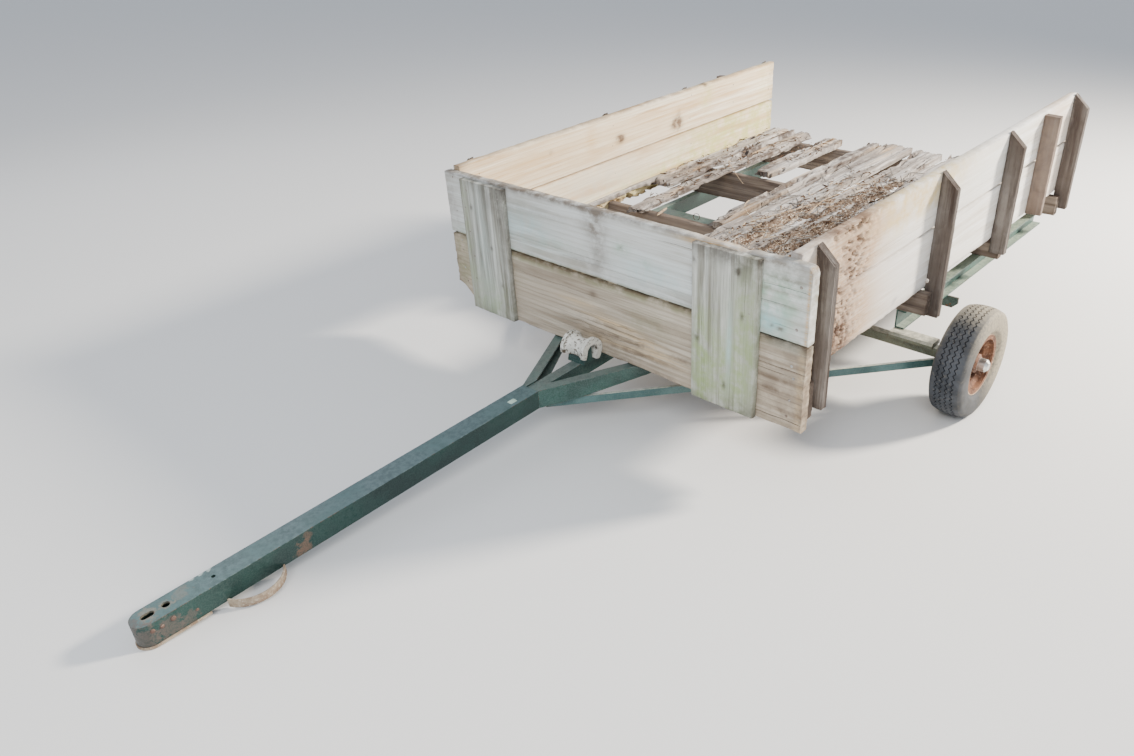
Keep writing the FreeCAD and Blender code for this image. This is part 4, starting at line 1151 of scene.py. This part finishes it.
# Steel that keeps its solids
STEEL = (
    (TONGUE_PAINT, "tongue"), (WHITE_CAST, "saddle"), (BARE_STEEL, "tongue_nose_lip tongue_strap"),
    (GREEN, "tongue_spine saddle_post frame_cross_channel fork_arm_left fork_arm_right"),
    (TEAL, "brace_left brace_right"), (OLIVE, "axle_bar axle_seat_left axle_seat_right"),
    (GREEN_DUST_AND_SUNLIT_TOP, "rail_left rail_right"), (GREEN_RUSTY, "rail_hanger_left rail_hanger_right"),
    (SEAT_RUST, "spindle_left spindle_right"), (RIM_RUST, "rim_left rim_right"), (HUB, "hub_left hub_right"),
)


def steel():
    for material, names in STEEL:
        for node in names.split():
            slots = NODES[node].data.materials
            slots.clear()
            slots.append(material)


# Tyres
TREAD_RIBS = 5
TREAD_DEEP = 0.006
TREAD_GROOVE = 0.0045
# Section of a groove between ribs: place from its middle in half widths, share of its depth
GROOVE_SECTION = ((-1.0, 0.0), (-0.7, 1.0), (0.7, 1.0), (1.0, 0.0))
ZIGZAG = 0.0042
ZIGZAG_COUNT = 62
TYRE_STEPS = 248
TREAD_SHARE = 0.8
SHOULDER_DROP = 0.008
# The bead's distance from the rim's edge, and how far its foot lies under the lip
BEAD_IN = 0.004
BEAD_FOOT = 0.012
# Dust on the bead, the walls, the shoulders and the tread
BEAD_DUST, WALL_DUST, SHOULDER_DUST, TREAD_DUST = 0.4, 1.0, 0.35, 0.12
# Steps of a sidewall, and the ones that carry a raised ring
WALL_STEPS = 15
WALL_RINGS = (4, 11)
WALL_RING_HIGH = 0.0012
# The rim's flange stands this much over its solid, as a pale rolled edge of this half thickness
RIM_LIP_MORE = 0.007
RIM_LIP_R = 0.0045
RIM_LIP_STEPS = 96
RIM_LIP_SIDES = 10


def tyre(word, sign):
    """A crown with zigzag ribs, rounded shoulders and bulged walls, turned round the axle's line."""
    low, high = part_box("tyre_" + word)
    centre = (low + high) / 2.0
    outer = (high.z - low.z) / 2.0
    half = (high.y - low.y) / 2.0
    rim_low, rim_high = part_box("rim_" + word)
    lip = (rim_high.z - rim_low.z) / 2.0 + RIM_LIP_MORE
    bead = (rim_high.y - rim_low.y) / 2.0 - BEAD_IN
    tread = TREAD_SHARE * half
    shoulder = outer - SHOULDER_DROP
    body = "wheel_" + word

    def around(w, r, angle):
        return centre.x + r * math.sin(angle), centre.y + w, centre.z + r * math.cos(angle)

    def crown(w):
        return shoulder + (outer - shoulder) * (1.0 - (w / tread) ** 2)

    ribs = []
    for i in range(TREAD_RIBS - 1):
        middle = tread * (2.0 * (i + 1) / TREAD_RIBS - 1.0)
        ribs += [(middle + offset * TREAD_GROOVE / 2, deep) for offset, deep in GROOVE_SECTION]
    wall = []
    for i in range(1, WALL_STEPS):
        a = math.pi * i / WALL_STEPS
        inner, power = (tread, 0.75) if a < math.pi / 2 else (bead, 0.8)
        w = inner + (half - inner) * math.sin(a) ** power
        raised = WALL_RING_HIGH if i in WALL_RINGS and w + WALL_RING_HIGH < half else 0.0
        wall.append((w + raised, (lip + shoulder) / 2 + (shoulder - lip) / 2 * math.cos(a)))
    verts, wears = [], []
    for k in range(TYRE_STEPS):
        angle = 2.0 * math.pi * k / TYRE_STEPS
        phase = (k * ZIGZAG_COUNT / TYRE_STEPS) % 1.0
        zig = ZIGZAG * (4.0 * abs(phase - 0.5) - 1.0)
        # Rows of: place across, radius, dust, painted shade in the grooves
        ring = [(-bead, lip - BEAD_FOOT, BEAD_DUST, 0.0)]
        ring += [(-w, r, WALL_DUST, 0.0) for w, r in reversed(wall)]
        ring.append((-tread, shoulder, SHOULDER_DUST, 0.0))
        ring += [(w + zig, crown(w) - TREAD_DEEP * deep, TREAD_DUST, deep) for w, deep in ribs]
        ring.append((tread, shoulder, SHOULDER_DUST, 0.0))
        ring += [(w, r, WALL_DUST, 0.0) for w, r in wall]
        ring.append((bead, lip - BEAD_FOOT, BEAD_DUST, 0.0))
        # Painted light: the wheel's top and rear get a paler sunlit tone, its front keeps little of its dust
        # and looks shaded, and the groove bottoms get painted shade. The inner half gets 0.8 of the pale
        # tone.
        sunlit_top = smooth(math.cos(angle + 0.45), 0.35, 0.95)
        sunlit_rear = smooth(math.cos(angle + 0.9), -0.75, 0.7)
        for w, r, dusty, groove_shade in ring:
            verts.append(around(w, r, angle))
            dust_and_painted_light = max(dusty * (0.1 + 0.85 * sunlit_rear), 0.75 * sunlit_top * (1.0 - 0.6 * groove_shade))
            wears.append((dust_and_painted_light * (1.0 if sign * w > 0 else 0.8), groove_shade, 0.0, 1.0))
    # Each face starts at the same point as in bands, but runs the other way round.
    faces = [(a, d, c, b) for a, b, c, d in bands(TYRE_STEPS, len(ring), closed=True)]
    obj = piece("tyre_%s_ribbed" % word, verts, faces, RUBBER, "tyre", None, 40.0, body)
    give_points(obj, "wear", "FLOAT_COLOR", "color", wears)
    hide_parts("tyre_" + word)

    # Rolled pale edges of the rim, on both sides of the wheel
    lips = []
    for side in (-1.0, 1.0):
        verts = []
        for k in range(RIM_LIP_STEPS):
            for m in range(RIM_LIP_SIDES):
                turn = 2.0 * math.pi * m / RIM_LIP_SIDES
                r = lip - RIM_LIP_R + RIM_LIP_R * math.cos(turn)
                w = side * (bead + RIM_LIP_R * math.sin(turn))
                verts.append(around(w, r, 2.0 * math.pi * k / RIM_LIP_STEPS))
        faces = bands(RIM_LIP_STEPS, RIM_LIP_SIDES, closed=True)
        lips.append((verts, [face[::-1] for face in faces] if side > 0 else faces))
    piece("rim_%s_lips" % word, *merge(lips), RIM_DUST, "rim_paint", None, 60.0, body)


# Domes of nail heads, rivets and bolts: share of the radius and of the height at each ring
DOME_RINGS = ((1.0, -0.4), (1.0, 0.35), (0.72, 0.85))
DOME_SIDES = 10
# Radius and height of a nail head, of a larger one on the headboard's left end and of one in the deck
NAIL_SIZE = (0.0034, 0.0014)
LARGE_NAIL = (0.0052, 0.0018)
DECK_NAIL = (0.0036, 0.0016)
NAIL_SUNK = 0.0006
# Nails: heights on the cleats and on the lower headboard, then places on the right wall and the deck
CLEAT_NAILS = (0.05, 0.13, 0.24, 0.36, 0.46, 0.535)
HEAD_NAILS = (0.05, 0.11, 0.192, 0.233, 0.36, 0.5)
WALL_NAILS_BACK = (0.13, 0.96, 1.55, 1.92, 2.26)
WALL_NAILS_HIGH = (0.19, 0.3, 0.43, 0.54)
DECK_NAILS_BACK = (0.096, 0.921, 1.592, 2.227)
# Rivets on both sides of the tongue's nose: distance back from the tip, height over its middle, radius
RIVETS = ((0.037, 0.015, 0.0065), (0.062, 0.012, 0.0060), (0.093, 0.016, 0.0075), (0.155, -0.001, 0.0045))
TONGUE_HALF = 0.038
# Bolt head on the second stake of the left side
STAKE_BOLT = (-0.798, 0.866, 0.241)
STAKE_BOLT_SIZE = (0.008, 0.006)
# Blank label on the tongue's top, and its rings: inset and height
LABEL_PLACE = (0.437, 0.012, -0.002)
LABEL_LONG = 0.030
LABEL_WIDE = 0.022
LABEL_CORNER = 0.003
LABEL_CORNER_STEPS = 4
LABEL_RINGS = ((0.0, -0.0004), (0.0, 0.0004), (0.0006, 0.0007))


def dome(centre, out, radius, height, sides):
    centre, out = Vector(centre), Vector(out).normalized()
    side = out.orthogonal().normalized()
    up = out.cross(side)
    verts = []
    for r, h in DOME_RINGS:
        for k in range(sides):
            a = 2.0 * math.pi * k / sides
            verts.append(centre + (side * math.cos(a) + up * math.sin(a)) * radius * r + out * height * h)
    verts.append(centre + out * height)
    faces = bands(3, sides)
    faces += [(2 * sides + k, 2 * sides + (k + 1) % sides, 3 * sides) for k in range(sides)]
    return verts, faces + [tuple(reversed(range(sides)))]


def domes(name, rows, material, space, sides=DOME_SIDES):
    """Domes from rows of: centre, outward direction, radius, height, joined into one piece."""
    piece(name, *merge([dome(*row, sides) for row in rows]), material, "frame_paint", space)


def fasteners():
    rows = []
    draw = random.Random(5)

    def near(value, reach):
        return value + draw.uniform(-reach, reach)

    for word in ("right", "left"):
        low, high = box_in("headboard_cleat_" + word, BED)
        for z in CLEAT_NAILS:
            for y in (low.y + 0.035, high.y - 0.035):
                rows.append(((high.x - NAIL_SUNK, near(y, 0.012), near(z, 0.02)), (1, 0, 0), *NAIL_SIZE))
    low, high = box_in("headboard_lower", BED)
    for z in HEAD_NAILS:
        rows.append(((high.x - NAIL_SUNK, near(high.y - 0.045, 0.01), z), (1, 0, 0), *LARGE_NAIL))
        rows.append(((high.x - NAIL_SUNK, near(low.y + 0.06, 0.01), z + 0.05), (1, 0, 0), *NAIL_SIZE))
    wall = box_in("side_right_lower", BED)[1].y - NAIL_SUNK
    for back in WALL_NAILS_BACK:
        for z in WALL_NAILS_HIGH:
            rows.append(((near(-back, 0.008), wall, near(z, 0.015)), (0, 1, 0), *NAIL_SIZE))
    top = box_in("deck_plank_9", BED)[1].z - 0.003
    for i in range(len(DECK_WEAR)):
        low, high = box_in("deck_plank_%d" % (i + 1), BED)
        for x in [-back for back in DECK_NAILS_BACK]:
            if low.x + 0.03 < x < high.x - 0.12:
                for y in (low.y + 0.03, high.y - 0.03):
                    rows.append(((near(x, 0.01), near(y, 0.008), top), (0, 0, 1), *DECK_NAIL))
    domes("nail_heads", rows, NAIL, BED)

    low, high = box_in("tongue", TONGUE)
    rivets = []
    for back, up, radius in RIVETS:
        for sign in (1, -1):
            spot = (high.x - back, sign * TONGUE_HALF, (low.z + high.z) / 2.0 + up)
            rivets.append((spot, (0, sign, 0), radius, 0.55 * radius))
    domes("tongue_rivets", rivets, RIVET_RUST, TONGUE, 14)
    domes("stake_bolt", [(STAKE_BOLT, (0, 1, 0), *STAKE_BOLT_SIZE)], NAIL, BED, 12)


def label():
    """A small blank film with round corners, stuck on the tongue's top."""
    verts = []
    for inset, high in LABEL_RINGS:
        for corner, (x_side, y_side) in enumerate(((1, 1), (-1, 1), (-1, -1), (1, -1))):
            for k in range(LABEL_CORNER_STEPS):
                a = math.pi / 2.0 * (corner + k / (LABEL_CORNER_STEPS - 1.0))
                x = x_side * (LABEL_LONG / 2.0 - LABEL_CORNER) + (LABEL_CORNER - inset) * math.cos(a)
                y = y_side * (LABEL_WIDE / 2.0 - LABEL_CORNER) + (LABEL_CORNER - inset) * math.sin(a)
                verts.append((LABEL_PLACE[X] + x, LABEL_PLACE[Y] + y, LABEL_PLACE[Z] + high))
    ring = 4 * LABEL_CORNER_STEPS
    faces = bands(len(LABEL_RINGS), ring) + [tuple(range(ring))[::-1], tuple(range(2 * ring, 3 * ring))]
    piece("tongue_label", verts, faces, LABEL, "frame_paint", TONGUE, 40.0)


# Stage, light and camera
FLOOR_HALF = 40.0
SKY_TONE = (0.78, 0.86, 1.0, 1.0)
SKY_POWER = 0.8
# Lights: place, aim, size, power, colour
LIGHTS = (
    ((-5.4, 4.0, 3.7), (-0.6, 0.0, 0.5), 1.1, 1550.0, (1.0, 0.93, 0.83)),
    ((4.5, 3.0, 4.5), (0.0, 0.0, 0.4), 4.0, 320.0, (0.94, 0.97, 1.0)),
    ((0.5, -4.5, 4.0), (-0.5, 0.0, 0.5), 4.0, 60.0, (0.95, 0.97, 1.0)),
)


def stage():
    s = Shader("floor_plain", 0.9, specular=0.1)
    s.join(linear((226, 224, 220)), s.surface.inputs["Base Color"])
    square = [(a * FLOOR_HALF, b * FLOOR_HALF, 0) for a, b in ((-1, -1), (1, -1), (1, 1), (-1, 1))]
    mesh_object("floor", square, [(0, 1, 2, 3)], s.material)

    world = bpy.data.worlds.new("soft_sky")
    world.use_nodes = True
    back = world.node_tree.nodes["Background"]
    back.inputs[0].default_value = SKY_TONE
    back.inputs[1].default_value = SKY_POWER
    bpy.context.scene.world = world


def lights():
    for i, (place, aim, size, power, colour) in enumerate(LIGHTS):
        lamp = bpy.data.lights.new("soft_light_%d" % (i + 1), "AREA")
        lamp.shape = "DISK"
        lamp.size = size
        lamp.energy = power
        lamp.color = colour
        obj = bpy.data.objects.new(lamp.name, lamp)
        obj.location = place
        obj.rotation_euler = (Vector(aim) - Vector(place)).to_track_quat("-Z", "Y").to_euler()
        bpy.context.collection.objects.link(obj)


def camera():
    data = bpy.data.cameras.new("camera")
    data.sensor_width = CAMERA_SENSOR
    data.lens = CAMERA_LENS
    obj = bpy.data.objects.new("camera", data)
    obj.location = CAMERA_PLACE
    obj.rotation_euler = [math.radians(a) for a in (CAMERA_TILT, CAMERA_ROLL, CAMERA_TURN)]
    bpy.context.collection.objects.link(obj)
    bpy.context.scene.camera = obj


stage()
lights()
camera()
headboard()
sides()
stakes()
sills()
deck()
crumb_bed()
ledge()
splinters()
litter()
steel()
tyre("left", 1)
tyre("right", -1)
fasteners()
label()
